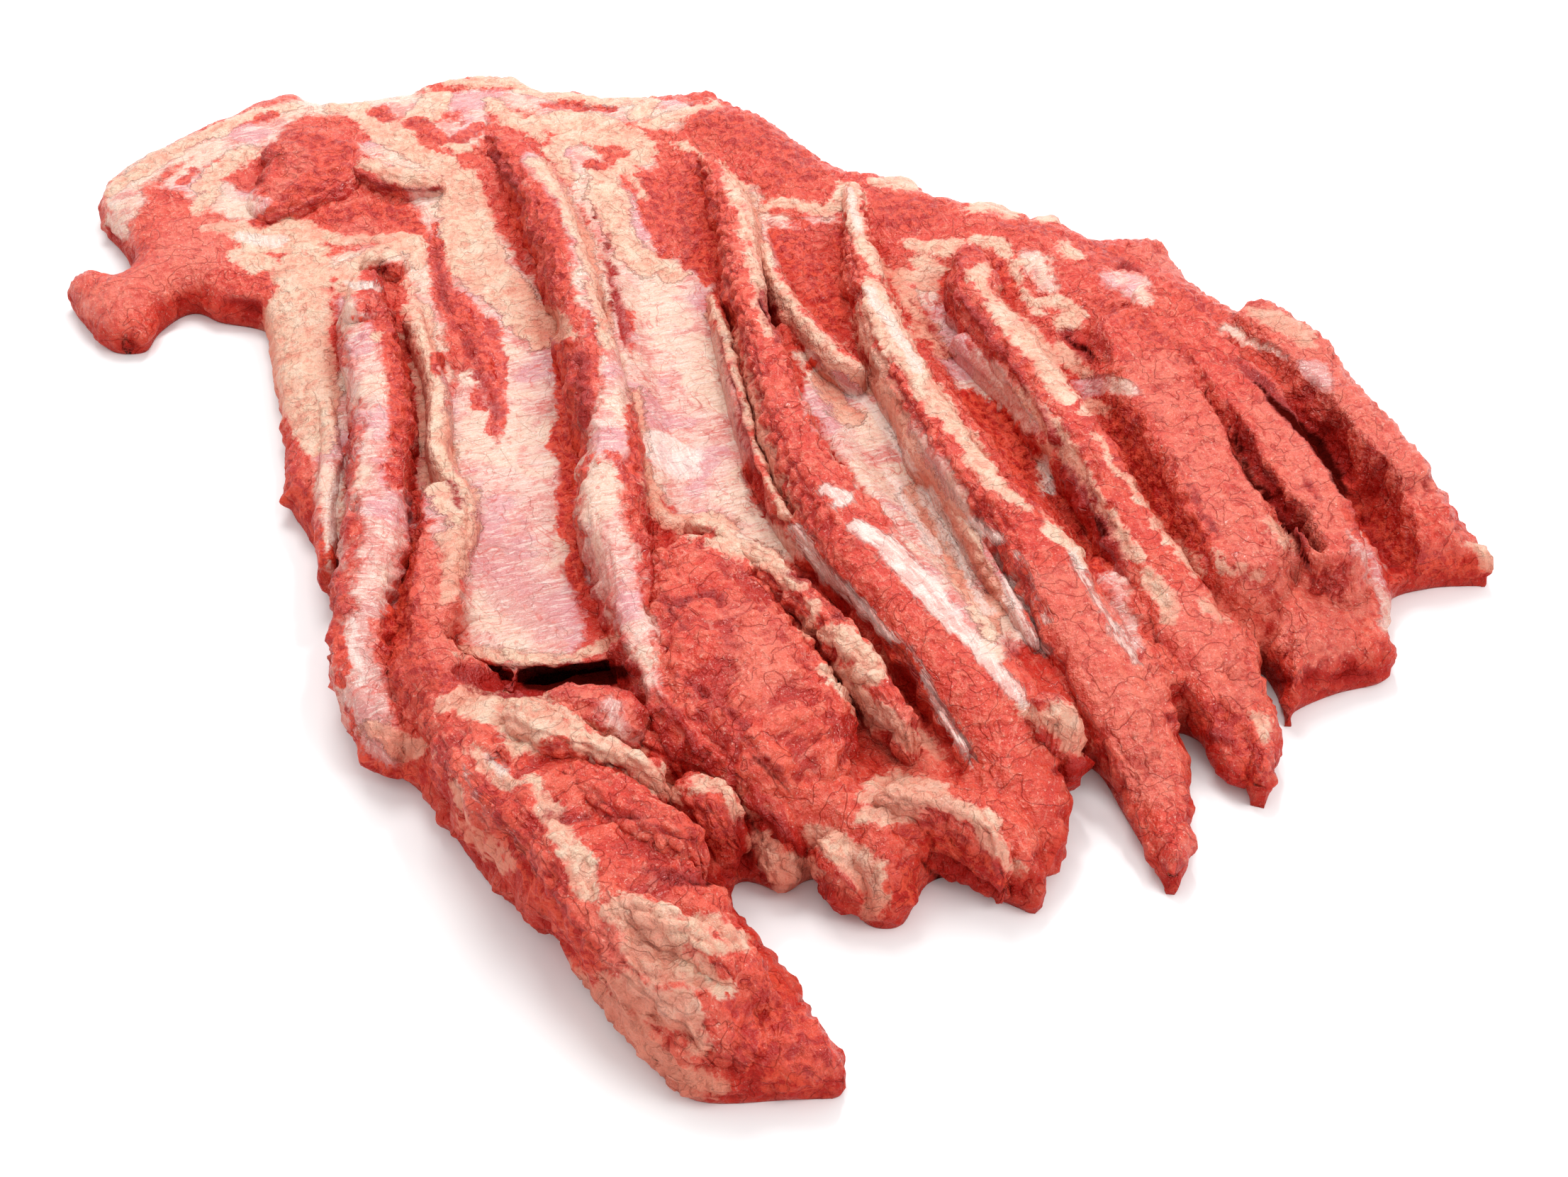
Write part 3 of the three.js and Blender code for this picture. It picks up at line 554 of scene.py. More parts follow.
def finish_piece(name, shape, run, beads, cell, salt, rough=0.8, clean=()):
    """Turns a bmesh in mm into an object in metres, with its relief and its stored fields.

    beads is the height of the kernels and cell their size, rough is the height of the uneven
    swelling, and clean names the strokes that leave this piece alone.
    """
    bmesh.ops.recalc_face_normals(shape, faces=shape.faces)
    shape.normal_update()
    places = as_array(shape)
    normals = np.array([v.normal for v in shape.verts])
    plan = seen(places) + 1.6 * np.stack([swell(places, 13, 61), swell(places, 13, 67)], axis=1)
    fields = {label: deepest(plan, strokes) for label, strokes in LAYERS.items()}
    for label in clean:
        fields[label][:] = UNREACHED
    tear = 2.2 * swell(places, 9, salt + 3) + 1.4 * swell(places, 3.5, salt + 4)
    # shares of fat, film and bare lean at each point
    fat = ease((fields["fat"] + tear + 1) / 4)
    film = np.maximum(ease((fields["film"] + tear + 2) / 6), ease((fields["white"] + tear + 2) / 4))
    red = ease((fields["red"] + tear + 1) / 3)
    fat *= 1 - red
    film *= 1 - red
    lean = (1 - fat) * (1 - film)
    # kernels and swellings of lean, then lumps of fat, wrinkles of film, creases and holes
    cells = kernels(run + 1.0 * np.stack([tear, tear], axis=1), cell, salt)
    relief = beads * (cells - 0.75) * (0.15 + 0.85 * lean)
    relief += lean * (rough * swell(places, 11, salt + 5, 3) + 0.35 * swell(places, 3.0, salt + 6, 1))
    relief += (1 - np.abs(normals[:, 2])) * lean * (2.8 * swell(places, 8, salt + 8) - 0.8)
    leant = places[:, :2] + places[:, 2:] * CLIMB
    blobs = kernels(leant + 0.8 * np.stack([tear, -tear], axis=1), 9, salt + 2)
    lumpy = 0.25 + 0.75 * ease((30 - plan[:, 1]) / 60)
    relief += fat * (0.5 + 2.0 * lumpy * (blobs - 0.6) + 0.8 * swell(places, 14, salt + 6, 2))
    relief += film * 0.35 * swell(run, (3, 12), salt + 7)
    relief -= 2.4 * ease((fields["deep"] + 0.5 + 0.3 * tear) / 4)
    relief -= 2.5 * ease((fields["pit"] + 0.5) / 2)
    relief *= ease(places[:, 2] / 6) * (1 - 0.6 * ease((fields["pit"] + 3) / 4))
    # the moved points stay inside the box of the solid, and the underside stays flat
    places += normals * relief[:, None]
    places = np.clip(places, inside_low, inside_high)
    places[as_array(shape)[:, 2] < 0.01, 2] = 0
    put_back(shape, places)
    mesh = bpy.data.meshes.new(name)
    shape.to_mesh(mesh)
    shape.free()
    field = mesh.attributes.new("run", "FLOAT_VECTOR", "POINT")
    field.data.foreach_set("vector", (np.hstack([run, places[:, 2:]]) * MM).ravel())
    # flank is the steepness, with which the material paints shade on steep sides
    for label, depths in (*fields.items(), ("relief", relief), ("flank", 1 - np.abs(normals[:, 2]))):
        field = mesh.attributes.new(label, "FLOAT", "POINT")
        field.data.foreach_set("value", depths)
    mesh.vertices.foreach_set("co", (places * MM).ravel())
    mesh.shade_smooth()
    piece = bpy.data.objects.new(name, mesh)
    bpy.context.collection.objects.link(piece)
    pieces.append(piece)
    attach(piece, "root")
    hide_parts("beef_flank")
    print(name, "triangles", sum(len(p.vertices) - 2 for p in mesh.polygons))


# %% [markdown]
# The slab carries everything. Its upper surface is a height for every place: a bed thickness,
# broad swellings, flat-topped muscles, a rim that rounds down towards the edge, and clefts. A
# grid operator makes the sheet, the squares outside the edge are deleted, the outermost points
# snap to the edge, and the border is extruded down to the table and closed. A grid is used
# rather than a voxel remesh because it keeps the beds smooth and spends few faces underneath.

# %% Heights of the slab
SWELLINGS = [
    (10, 36, [(-150, -84), (-100, -150), (-56, -210)]),
    (10, 42, [(-10, -150), (34, -170), (78, -170)]),
    (12, 40, [(116, -40), (148, -72), (172, -96)]),
    (3, 40, [(190, -56), (222, -42), (246, -36)]),
    (5, 78, [(-262, 332), (-200, 350), (-122, 344)]),
    (10, 50, [(-34, 372), (8, 322), (72, 276), (142, 244)]),
    (10, 46, [(150, 205), (210, 185), (252, 150)]),
    (-9, 96, [(-368, 196), (-330, 228), (-344, 296), (-316, 340)]),
    (-8, 42, [(-262, 200), (-240, 110), (-226, 56)]),
    (14, 48, [(-40, -10), (-24, -60), (0, -120)]),
    (10, 30, [(-158, 10), (-154, -40), (-146, -90)]),
    (8, 17, [(-92, 210), (-76, 120), (-68, 70), (-60, 20)]),
    (8, 17, [(-8, 200), (8, 120), (26, 66), (54, 6), (84, -52)]),
    (8, 17, [(62, 168), (82, 100), (104, 50), (126, 0)]),
]
PLATEAUS = [
    (47, 29, 14, [(178, 168), (183, 138), (190, 100), (201, 48), (208, -2)]),
    (49, 21, 7, [(196, 194), (216, 150), (234, 96), (244, 36), (248, 2)]),
    (42, 24, 13, [(248, 180), (269, 146), (284, 104), (291, 58)]),
    (36, 23, 14, [(291, 60), (295, 30), (296, 0)]),
    (40, 18, 10, [(-157, 34), (-156, -10), (-152, -52), (-146, -86), (-138, -108)]),
    (31, 34, 26, [(200, 0), (214, -30), (226, -52)]),
    (36, 30, 22, [(146, -24), (174, -52), (196, -66)]),
    (32, 34, 18, [(96, -130), (116, -70), (136, -110)]),
]
CLEFTS = [
    [(-126, -88, 10, 12), (-100, -90, 14, 3), (-70, -86, 12, 4)],
    [(211, 88, 1.5, 42), (216, 62, 3, 38), (223, 28, 2.5, 40)],
    [(224, 25, 1.5, 40), (230, 0, 3, 34), (235, -26, 2, 30)],
    [(224, 132, 3, 34), (240, 103, 5, 28), (254, 68, 6, 24), (264, 20, 7, 18), (272, -28, 7, 10)],
    [(95, 192, 4, 16), (114, 136, 6, 14), (130, 84, 6, 14), (144, 14, 6, 14), (150, -24, 4, 18)],
    [(-13, 204, 3, 18), (-8, 178, 5, 16), (-2, 150, 3, 18)],
]


def on_frame(points, height):
    """Plan points as frame places, keeping the columns after x and y."""
    return [(*slide(point[0], point[1], height), *point[2:]) for point in points]


def within(places, ring):
    """Whether each place lies inside a closed ring."""
    found = np.zeros(len(places), bool)
    x, y = places.T
    for a, b in zip(ring, np.roll(ring, 1, axis=0)):
        if a[1] != b[1]:
            crosses = (a[1] > y) != (b[1] > y)
            found ^= crosses & (x < (b[0] - a[0]) * (y - a[1]) / (b[1] - a[1]) + a[0])
    return found


def edge_depth(places):
    """How far inside the edge each place lies, the nearest place on the edge and the way in from it."""
    best = np.full(len(places), 1e9)
    nearest = np.zeros((len(places), 2))
    inward = np.zeros((len(places), 2))
    for a, b in zip(edge, np.roll(edge, -1, axis=0)):
        along = b - a
        t = np.clip(((places - a) @ along) / max(along @ along, 1e-9), 0, 1)
        on = a + t[:, None] * along
        away = np.hypot(*(places - on).T)
        closer = away < best
        best[closer] = away[closer]
        nearest[closer] = on[closer]
        inward[closer] = (along[1], -along[0]) / np.hypot(*along)
    return best, nearest, inward


def slab_height(places, depth):
    """The height of the slab's upper surface in mm."""
    height = np.full(len(places), BED)
    for up, reach, path in SWELLINGS:
        line = [(*slide(x, y, BED + max(0, up)), reach) for x, y in path]
        height += up * ease((reach_in(places, line, 1.0)) / reach)
    for top, reach, ramp, path in PLATEAUS:
        line = [(*slide(x, y, top), reach) for x, y in path]
        share = ease(reach_in(places, line, 1.0) / ramp)
        height = np.maximum(height, BED + (top + 1.5 * swell(places, 28, 5) - BED) * share)
    height += 1.6 * swell(places, 45, 3) + 0.5 * swell(places, 9, 4)
    away = 1 - np.clip(depth / RIM_REACH, 0, 1)
    height *= RIM_SHARE + (1 - RIM_SHARE) * np.sqrt(1 - away * away)
    for cleft in CLEFTS:
        for a, b in zip(cleft[:-1], cleft[1:]):
            floor_up = (a[3] + b[3]) / 2
            inner = reach_in(places, on_frame([a, b], floor_up), 6.0)
            half = (a[2] + b[2]) / 2
            height = np.minimum(height, floor_up + (height - floor_up) * ease(0.5 - inner / half))
    return height


# %% [markdown]
# The wall of the slab could be one tall row of faces, but kernels and lumps need points to
# move. So the border is pushed down in twelve rows, drawn in a little towards the table, as
# soft meat rounds under its own weight. Long edges on steep slopes are halved for the same
# reason.

# %% The slab
GRID = 1.9
RIB_LEAN = math.radians(20)
WALL_STEPS = 12
UNDERCUT = 3.0
LONGEST_EDGE = 3.0
WAY_ROUNDS = 12


def along_ribs(places):
    """Two columns: across the ribs and along them."""
    c, s = math.cos(RIB_LEAN), math.sin(RIB_LEAN)
    return np.stack([places[:, 0] * c + places[:, 1] * s, places[:, 1] * c - places[:, 0] * s], axis=1)


sheet = bmesh.new()
columns = int(edge_size[0] / GRID) + 4
rows = int(edge_size[1] / GRID) + 4
bmesh.ops.create_grid(sheet, x_segments=columns, y_segments=rows, size=0.5)
bmesh.ops.scale(sheet, vec=(columns * GRID, rows * GRID, 1), verts=sheet.verts)
places = as_array(sheet)[:, :2]
outside = [v for v, keep in zip(sheet.verts, within(places, edge)) if not keep]
bmesh.ops.delete(sheet, geom=outside, context="VERTS")
loose = [v for v in sheet.verts if len(v.link_faces) < 2]
bmesh.ops.delete(sheet, geom=loose, context="VERTS")
places = as_array(sheet)[:, :2]
depth, nearest, inward = edge_depth(places)
border = np.array([v.is_boundary for v in sheet.verts])
places[border] = nearest[border]
depth[border] = 0
put_back(sheet, np.column_stack([places, slab_height(places, depth)]))
steep = [e for e in sheet.edges if e.calc_length() > LONGEST_EDGE and not e.is_boundary]
bmesh.ops.subdivide_edges(sheet, edges=steep, cuts=1, use_grid_fill=True)
rim = [next(v for v in sheet.verts if v.is_boundary)]
while len(rim) < 3 or rim[-1] is not rim[0]:
    beside = [e.other_vert(rim[-1]) for e in rim[-1].link_edges if e.is_boundary]
    rim.append(next(v for v in beside if len(rim) < 2 or v is not rim[-2]))
rim.pop()
ways = edge_depth(np.array([v.co[:2] for v in rim]))[2]
for turn in range(WAY_ROUNDS):
    ways = (ways + np.roll(ways, 1, axis=0) + np.roll(ways, -1, axis=0)) / 3
upper = {v: (v.co.copy(), way) for v, way in zip(rim, ways.tolist())}
ring = [e for e in sheet.edges if e.is_boundary]
for step in range(1, WALL_STEPS + 1):
    grown = bmesh.ops.extrude_edge_only(sheet, edges=ring)["geom"]
    ring = [g for g in grown if isinstance(g, bmesh.types.BMEdge)]
    share = step / WALL_STEPS
    fresh = {}
    for vert in [g for g in grown if isinstance(g, bmesh.types.BMVert)]:
        above = [e.other_vert(vert) for e in vert.link_edges if e.other_vert(vert) in upper][0]
        top, way = upper[above]
        draw = UNDERCUT * share ** 3
        vert.co = (top.x + way[0] * draw, top.y + way[1] * draw, top.z * (1 - share))
        fresh[vert] = (top, way)
    upper = fresh
bmesh.ops.triangle_fill(sheet, edges=ring, use_beauty=True)
places = as_array(sheet)
spread = along_ribs(places[:, :2]) + places[:, 2:] * CLIMB
on_top = 1 - ease((UNDERCUT - edge_depth(places[:, :2])[0]) / UNDERCUT)
beads = (0.5 + on_top) * ease((places[:, 0] + 300) / 140)
finish_piece("slab", sheet, spread, beads, (7, 9), 1)

# %% [markdown]
# Each long muscle between two beds is a sphere strung on a line: its rings of points are laid
# along the curve and its two poles close the ends. That keeps a clean grid along and round the
# muscle, so kernels can be pressed into one flank and left off the smooth fascia on top. More
# of the points are spent on the upper side, because the lower side is buried in the slab.

# %% A muscle
ROOT = 3.0
SEEN_SHARE = 0.85
RING_STEP = 1.5


def strung(name, line, beads, cell=(8, 9), box=0.7, salt=1, wander=1.2, rough=0.8, fade=0.0,
           clean=()):
    """A form on a line of x, y, half width, top.

    beads is the relief of the left flank, the top and the right flank, box how square the
    section is, wander how far it swells, and fade how much relief is lost towards the end.
    """
    line = np.array(line, float)
    x, y = slide(line[:, 0], line[:, 1], line[:, 3] * SEEN_SHARE)
    path = rounded(np.column_stack([x, y, line[:, 2:]]), 12)
    path[:, 2:] = np.maximum(path[:, 2:], 1.5)
    gone = np.concatenate([[0], np.cumsum(np.hypot(*np.diff(path[:, :2], axis=0).T))])
    length = gone[-1]
    girth = float(np.mean(line[:, 2]) * 2 + np.mean(line[:, 3]) * 1.6)
    shape = bmesh.new()
    around = max(16, int(girth / RING_STEP))
    rings = max(10, int(length / RING_STEP))
    bmesh.ops.create_uvsphere(shape, u_segments=around, v_segments=rings, radius=1)
    ball = as_array(shape)
    t = np.arccos(np.clip(ball[:, 2], -1, 1)) / math.pi
    at_pole = np.hypot(ball[:, 0], ball[:, 1]) < 1e-6
    turn = np.where(at_pole, 0, np.arctan2(ball[:, 1], ball[:, 0]))
    turn = turn + 0.5 * np.cos(turn)
    at = t * length
    centre = np.column_stack([np.interp(at, gone, path[:, c]) for c in range(4)])
    ahead = np.column_stack([np.interp(np.clip(at + 2, 0, length), gone, path[:, c]) for c in range(2)])
    back = np.column_stack([np.interp(np.clip(at - 2, 0, length), gone, path[:, c]) for c in range(2)])
    along = ahead - back
    along /= np.maximum(np.hypot(*along.T), 1e-9)[:, None]
    across = np.column_stack([-along[:, 1], along[:, 0]])
    first, last = line[0, 2] * 1.3, line[-1, 2] * 1.3
    to_end = np.minimum(np.minimum(at / first, (length - at) / last), 1)
    full = np.where(at_pole, 0, np.sqrt(np.maximum(0, 1 - (1 - to_end) ** 2)))
    c, s = np.cos(turn), np.sin(turn)
    half = centre[:, 2]
    half_up = (centre[:, 3] - ROOT) / 2
    offset_across = np.sign(c) * np.abs(c) ** box * half * full
    offset_up = np.sign(s) * np.abs(s) ** box * half_up * full
    arc = np.column_stack([turn * (half + half_up) / 2 + 500 * salt, at])
    right = ease(c * 1.5 + 0.2)
    left = ease(-c * 1.5 + 0.2)
    top = np.clip(1 - left - right, 0, 1)
    amount = left * beads[0] + right * beads[2] + top * beads[1]
    amount = amount * (1 - fade * ease((t - 0.55) / 0.25))
    where = centre[:, :2] + across * offset_across[:, None]
    bump = wander * swell(np.column_stack([where, offset_up]), 24, salt + 3) * full
    grow = 1 + bump / np.maximum(np.hypot(offset_across, offset_up), 4)
    middle = (centre[:, 3] + ROOT) / 2
    lifted = np.maximum(middle + offset_up * grow, 0.4)
    flat = centre[:, :2] + across * (offset_across * grow)[:, None]
    put_back(shape, np.column_stack([flat, lifted]))
    finish_piece(name, shape, arc, amount, cell, salt, rough, clean)


# %% [markdown]
# On the real cut these are the intercostal muscles, long strips left standing where the bones
# were drawn out. Five of them run the whole way; the near strip and the broad middle muscle
# lie in front. They could be sculpted one by one, but a table of lines keeps each correction
# to one number.

# %% The muscles between the ribs
ROUND = (11, 9.5)
MUSCLES = {
    "near_strip": ((6, 7), (1.2, 1.2, 1.2), 0.5, [
        (-134, -98, 25, 42), (-112, -128, 31, 50), (-85, -161, 32, 54), (-60, -198, 29, 54),
        (-39, -231, 26, 49), (-20, -258, 22, 38), (-4, -278, 15, 26)]),
    "middle_muscle": ((9, 8), (1.6, 1.5, 1.6), 0.6, [
        (-46, 2, 16, 42), (-33, -34, 30, 51), (-16, -84, 36, 54), (4, -128, 32, 50),
        (18, -160, 22, 40)]),
    "a": (ROUND, (2.6, 1.3, 2.2), 0.7, [
        (-221, 214, 8, 36), (-214, 172, 12, 43), (-206, 140, 14, 46), (-194, 92, 14, 46),
        (-190, 44, 13, 45), (-186, 0, 14, 44), (-184, -50, 12, 41),
        (-178, -86, 12, 37), (-167, -112, 10, 32), (-153, -132, 8, 24)]),
    "b": (ROUND, (2.6, 0.8, 1.8), 0.7, [
        (-166, 356, 7, 30), (-141, 312, 12, 42), (-122, 258, 13, 48), (-108, 200, 13, 52),
        (-92, 125, 14, 54), (-82, 74, 13, 54), (-79, 24, 15, 53), (-71, -16, 12, 52),
        (-64, -56, 9, 50), (-54, -88, 8, 48), (-40, -122, 8, 45), (-4, -160, 8, 38), (8, -184, 7, 24)]),
    "c": (ROUND, (2.5, 1.0, 2.1), 0.65, [
        (-44, 332, 8, 34), (-27, 270, 11, 46), (-20, 200, 11, 52), (-5, 120, 12, 55), (8, 64, 15, 56),
        (34, 2, 20, 57), (64, -54, 23, 54), (88, -104, 22, 46), (98, -152, 17, 32),
        (97, -196, 10, 18)]),
    "d": (ROUND, (2.5, 0.9, 1.9), 0.65, [
        (38, 302, 6, 36), (40, 240, 9, 44), (50, 168, 11, 50), (68, 100, 13, 54), (86, 50, 14, 55),
        (112, 2, 17, 53), (128, -56, 20, 45), (144, -112, 19, 32), (149, -158, 13, 19),
        (149, -194, 8, 12)]),
    "e": (ROUND, (2.3, 1.0, 1.7), 0.65, [
        (100, 236, 9, 40), (100, 194, 12, 48), (116, 145, 13, 52), (134, 92, 13, 53), (150, 44, 12, 52),
        (162, -6, 14, 49), (175, -54, 17, 42), (186, -102, 15, 29), (189, -146, 9, 14)]),
}
WILD = {"near_strip": (3.5, 2.8), "middle_muscle": (3.0, 2.6)}
for number, (name, (cell, beads, box, line)) in enumerate(MUSCLES.items()):
    wander, rough = WILD.get(name, (1.6, 0.9))
    fade = 0.75 if name in "cde" else 0.0
    strung("muscle_" + name, line, beads, cell, box, number + 2, wander=wander, rough=rough, fade=fade)

# %% [markdown]
# Beside each muscle a thin band of fat and membrane stands where a bone was peeled away. Lumps
# of fat, folded lean and loose ends lie at the near edge. Both are strung forms again, because
# a buried sphere meets the meat in a soft crease and needs no join.

# %% The straps
STRAPS = {
    "left": [(-224, 108, 5, 26), (-214, 62, 6, 29), (-210, 20, 5, 31), (-203, -20, 4, 29)],
    "a": [(-190, 180, 5, 38), (-170, 110, 6, 41), (-163, 60, 6, 41), (-146, 18, 7, 38),
          (-147, -40, 4, 34)],
    "c": [(-37, 192, 4, 36), (-25, 122, 5, 39), (-8, 36, 4, 41), (20, -22, 4, 42),
          (54, -84, 4, 40), (74, -140, 3, 35)],
    "d": [(42, 172, 4, 37), (58, 92, 4, 39), (79, 18, 4, 39), (100, -46, 4, 38), (108, -74, 3, 36)],
    "e": [(86, 158, 6, 38), (122, 94, 7, 41), (138, 40, 5, 42), (160, -6, 5, 42), (166, -40, 4, 38)],
    "bc": [(-12, 240, 5, 38), (0, 190, 6, 41), (24, 140, 7, 40), (40, 118, 5, 38)],
}
for number, (name, line) in enumerate(STRAPS.items()):
    strung("strap_" + name, line, (0.3, 0.3, 0.3), salt=number + 20, wander=0.8)

# %% The lumps and loose ends
LUMPS = {
    "pocket_lobe": [(-104, -104, 7, 38), (-90, -107, 12, 46), (-72, -112, 14, 48), (-54, -121, 11, 44)],
    "second_lobe": [(-62, -124, 7, 37), (-48, -133, 9, 39), (-34, -147, 6, 35)],
    "hanging_shred": [(-120, -80, 3, 26), (-113, -90, 3.5, 30), (-117, -102, 4, 36)],
    "pale_lobe": [(-4, -176, 8, 24), (-1, -199, 9, 18)],
    "fat_lobe": [(14, -174, 10, 34), (27, -194, 12, 25), (38, -210, 10, 17)],
    "red_lobe": [(40, -160, 12, 34), (62, -174, 12, 29), (78, -188, 10, 22), (87, -204, 7, 13)],
    "fat_lump": [(-114, -106, 9, 52), (-98, -122, 11, 60), (-66, -137, 8, 60), (-46, -152, 7, 57)],
    "fat_flap": [(100, -106, 5, 49), (114, -116, 9, 51), (112, -130, 7, 44)],
    "fat_strip": [(-44, 14, 6, 42), (-14, -14, 8, 50), (12, -46, 8, 54), (34, -84, 9, 54),
                  (54, -128, 6, 47)],
    "strip_mound": [(-90, -142, 9, 54), (-74, -154, 14, 58.5), (-57, -168, 15, 58.5),
                    (-40, -182, 12, 57), (-31, -195, 7, 52)],
    "strip_fat": [(-68, -209, 6, 52), (-53, -218, 9, 57), (-37, -227, 9, 56), (-22, -241, 8, 50),
                  (-12, -250, 6, 43)],
    "low_fat": [(-78, -226, 3, 24), (-68, -240, 5, 27), (-57, -253, 7, 29), (-45, -266, 8, 30),
                (-31, -277, 8, 28), (-18, -287, 6, 22)],
    "fat_ridge": [(35, -158, 5, 40), (51, -162, 6, 43), (68, -168, 6, 42), (81, -180, 5, 38),
                  (87, -197, 4, 30)],
    "fat_knob": [(-121, -136, 5, 54), (-107, -140, 6, 57)],
    "shoulder": [(-46, -148, 9, 44), (-28, -160, 12, 46), (-14, -178, 10, 38)],
    "curl_core": [(-224, 218, 7, 31), (-211, 226, 9, 33), (-199, 216, 8, 33)],
    "bead": [(-224, 184, 7, 50), (-216, 174, 8, 52), (-212, 164, 6, 50)],
    "coral_flap": [(-292, 352, 16, 30), (-262, 330, 30, 36), (-276, 294, 22, 34), (-296, 276, 10, 28)],
    "thin_flap": [(-240, 318, 5, 34), (-214, 308, 10, 37), (-186, 302, 8, 35)],
}
for number, (name, line) in enumerate(LUMPS.items()):
    clean = ("pit", "deep") if name in ("pocket_lobe", "second_lobe") else ("pit",)
    strung(name, line, (1.8, 1.4, 1.8), salt=number + 30, rough=1.1, clean=clean)

# %% [markdown]
# The roof over the dark pocket overhangs, so it can't be part of the slab. It is a grid laid
# between a front line and a back line, arched a little between them and given its thickness by
# the solidify operator. The back line dips under the bed that it grows from.

# %% The roof over the pocket
ROOF_STEP = 1.6
ROOF_ARCH = 1.0
ROOF_THICK = 2.5
ROOF_SALT = 60
ROOF_LINES = [
    [(-154, -60, 18), (-140, -72, 26), (-122, -80, 30), (-104, -82, 30), (-84, -80, 31),
     (-70, -75, 32), (-58, -64, 31)],
    [(-152, -44, 20), (-140, -42, 24), (-122, -40, 24.5), (-104, -38, 24.5), (-86, -36, 24.5),
     (-72, -38, 25), (-60, -42, 25)],
]
sides = []
for line in ROOF_LINES:
    line = rounded(line, 8)
    x, y = slide(line[:, 0], line[:, 1], line[:, 2])
    sides.append(np.column_stack([x, y, line[:, 2]]))
across = int(np.hypot(*np.diff(sides[0][:, :2], axis=0).T).sum() / ROOF_STEP)
back = int(np.hypot(*(sides[0] - sides[1])[:, :2].T).mean() / ROOF_STEP) + 2
roof = bmesh.new()
bmesh.ops.create_grid(roof, x_segments=across, y_segments=back, size=0.5)
u, v = (as_array(roof)[:, :2] + 0.5).T
ends = []
for side in sides:
    share = np.linspace(0, 1, len(side))
    ends.append(np.column_stack([np.interp(u, share, side[:, c]) for c in range(3)]))
places = ends[0] * (1 - v[:, None]) + ends[1] * v[:, None]
places[:, 2] += ROOF_ARCH * np.sin(v * math.pi) + 0.8 * swell(places, 18, ROOF_SALT)
put_back(roof, places)
bmesh.ops.recalc_face_normals(roof, faces=roof.faces)
bmesh.ops.solidify(roof, geom=roof.faces[:], thickness=ROOF_THICK)
finish_piece("pocket_roof", roof, along_ribs(as_array(roof)[:, :2]), 0.4, (6, 8), ROOF_SALT)

# %% [markdown]
# Hollows are given painted shade: they are painted darker and redder than the crests, which are
# left lighter. How far each point lies under the mean height round it is worked out from a
# coarse map of heights of all the pieces, and stored too.

# %% Hollows and crests, for painted shade
CELL = 3.0
SPREAD = 5


def box_mean(table, reach):
    """The mean of the cells within reach of each cell, first along rows and then along columns."""
    for turn in range(2):
        wide = np.pad(table, ((0, 0), (reach + 1, reach)))
        total = np.cumsum(wide, axis=1)
        table = ((total[:, 2 * reach + 1:] - total[:, :-2 * reach - 1]) / (2 * reach + 1)).T
    return table


clouds = []
for piece in pieces:
    flat = np.empty(len(piece.data.vertices) * 3)
    piece.data.vertices.foreach_get("co", flat)
    clouds.append(flat.reshape(-1, 3) / MM)
corner = inside_low[:2]
size = ((inside_high[:2] - corner) / CELL).astype(int) + 2
heights = np.zeros(size)
for cloud in clouds:
    spot = ((cloud[:, :2] - corner) / CELL).astype(int)
    np.maximum.at(heights, (spot[:, 0], spot[:, 1]), cloud[:, 2])
filled = (heights > 0).astype(float)
for turn in range(2):
    shares = box_mean(filled, SPREAD)
    heights = np.where(filled > 0, box_mean(heights * filled, SPREAD) / np.maximum(shares, 1e-6), 0)
for piece, cloud in zip(pieces, clouds):
    spot = ((cloud[:, :2] - corner) / CELL).astype(int)
    sunk = np.clip(heights[spot[:, 0], spot[:, 1]] - cloud[:, 2], -15, 15)
    field = piece.data.attributes.new("sunk", "FLOAT", "POINT")
    field.data.foreach_set("value", sunk)
print("hollows", round(float(sunk.min()), 1), "to", round(float(sunk.max()), 1), "mm on the last piece")

# %% [markdown]
# One material serves the whole cut, because lean, film and fat run into each other. Lean is
# coral red with darker grain, film is a pale lilac skin that lets the red through, and fat is
# cream. The stored depths are torn with noise and turned into masks, and the same masks drive
# the roughness and the bump, so a sheet of fat also stands up and shines differently. The
# colours also carry painted shade in hollows, creases, on steep sides and near the table, and
# painted light on crests and in small glints.

# %% The meat material
meat = bpy.data.materials.new("raw_beef")
meat.use_nodes = True
nodes = meat.node_tree.nodes
links = meat.node_tree.links
shader = nodes["Principled BSDF"]


def put(value, socket):
    """Sets a socket to a value, or links it from another socket."""
    if isinstance(value, bpy.types.NodeSocket):
        links.new(value, socket)
    else:
        socket.default_value = value


def result(kind, inputs, output=0, **settings):
    """Adds a shader node, fills the inputs given by name or number, and gives one output."""
    node = nodes.new("ShaderNode" + kind)
    for label, value in settings.items():
        setattr(node, label, value)
    for label, value in inputs.items():
        put(value, node.inputs[label])
    return node.outputs[output]


def noise(vector, scale, detail=3.0, rough=0.55, distortion=0.0):
    return result("TexNoise", {"Vector": vector, "Scale": scale, "Detail": detail,
                               "Roughness": rough, "Distortion": distortion})


def cells_of(vector, scale):
    return result("TexVoronoi", {"Vector": vector, "Scale": scale}, feature="SMOOTH_F1")


def calc(kind, *values):
    return result("Math", dict(enumerate(values)), operation=kind)


def plus(a, b):
    return calc("ADD", a, b)


def less(a, b):
    return calc("SUBTRACT", a, b)


def times(a, b):
    return calc("MULTIPLY", a, b)


def between(value, low, high, to_low=0.0, to_high=1.0):
    """Carries the stretch from low to high over to another stretch, with soft ends."""
    ends = (value, low, high, to_low, to_high)
    return result("MapRange", dict(enumerate(ends)), interpolation_type="SMOOTHSTEP")


def blended(share, a, b):
    return result("Mix", {0: share, 6: a, 7: b}, 2, data_type="RGBA")


def stored(label, output="Fac"):
    return result("Attribute", {}, output, attribute_name=label)


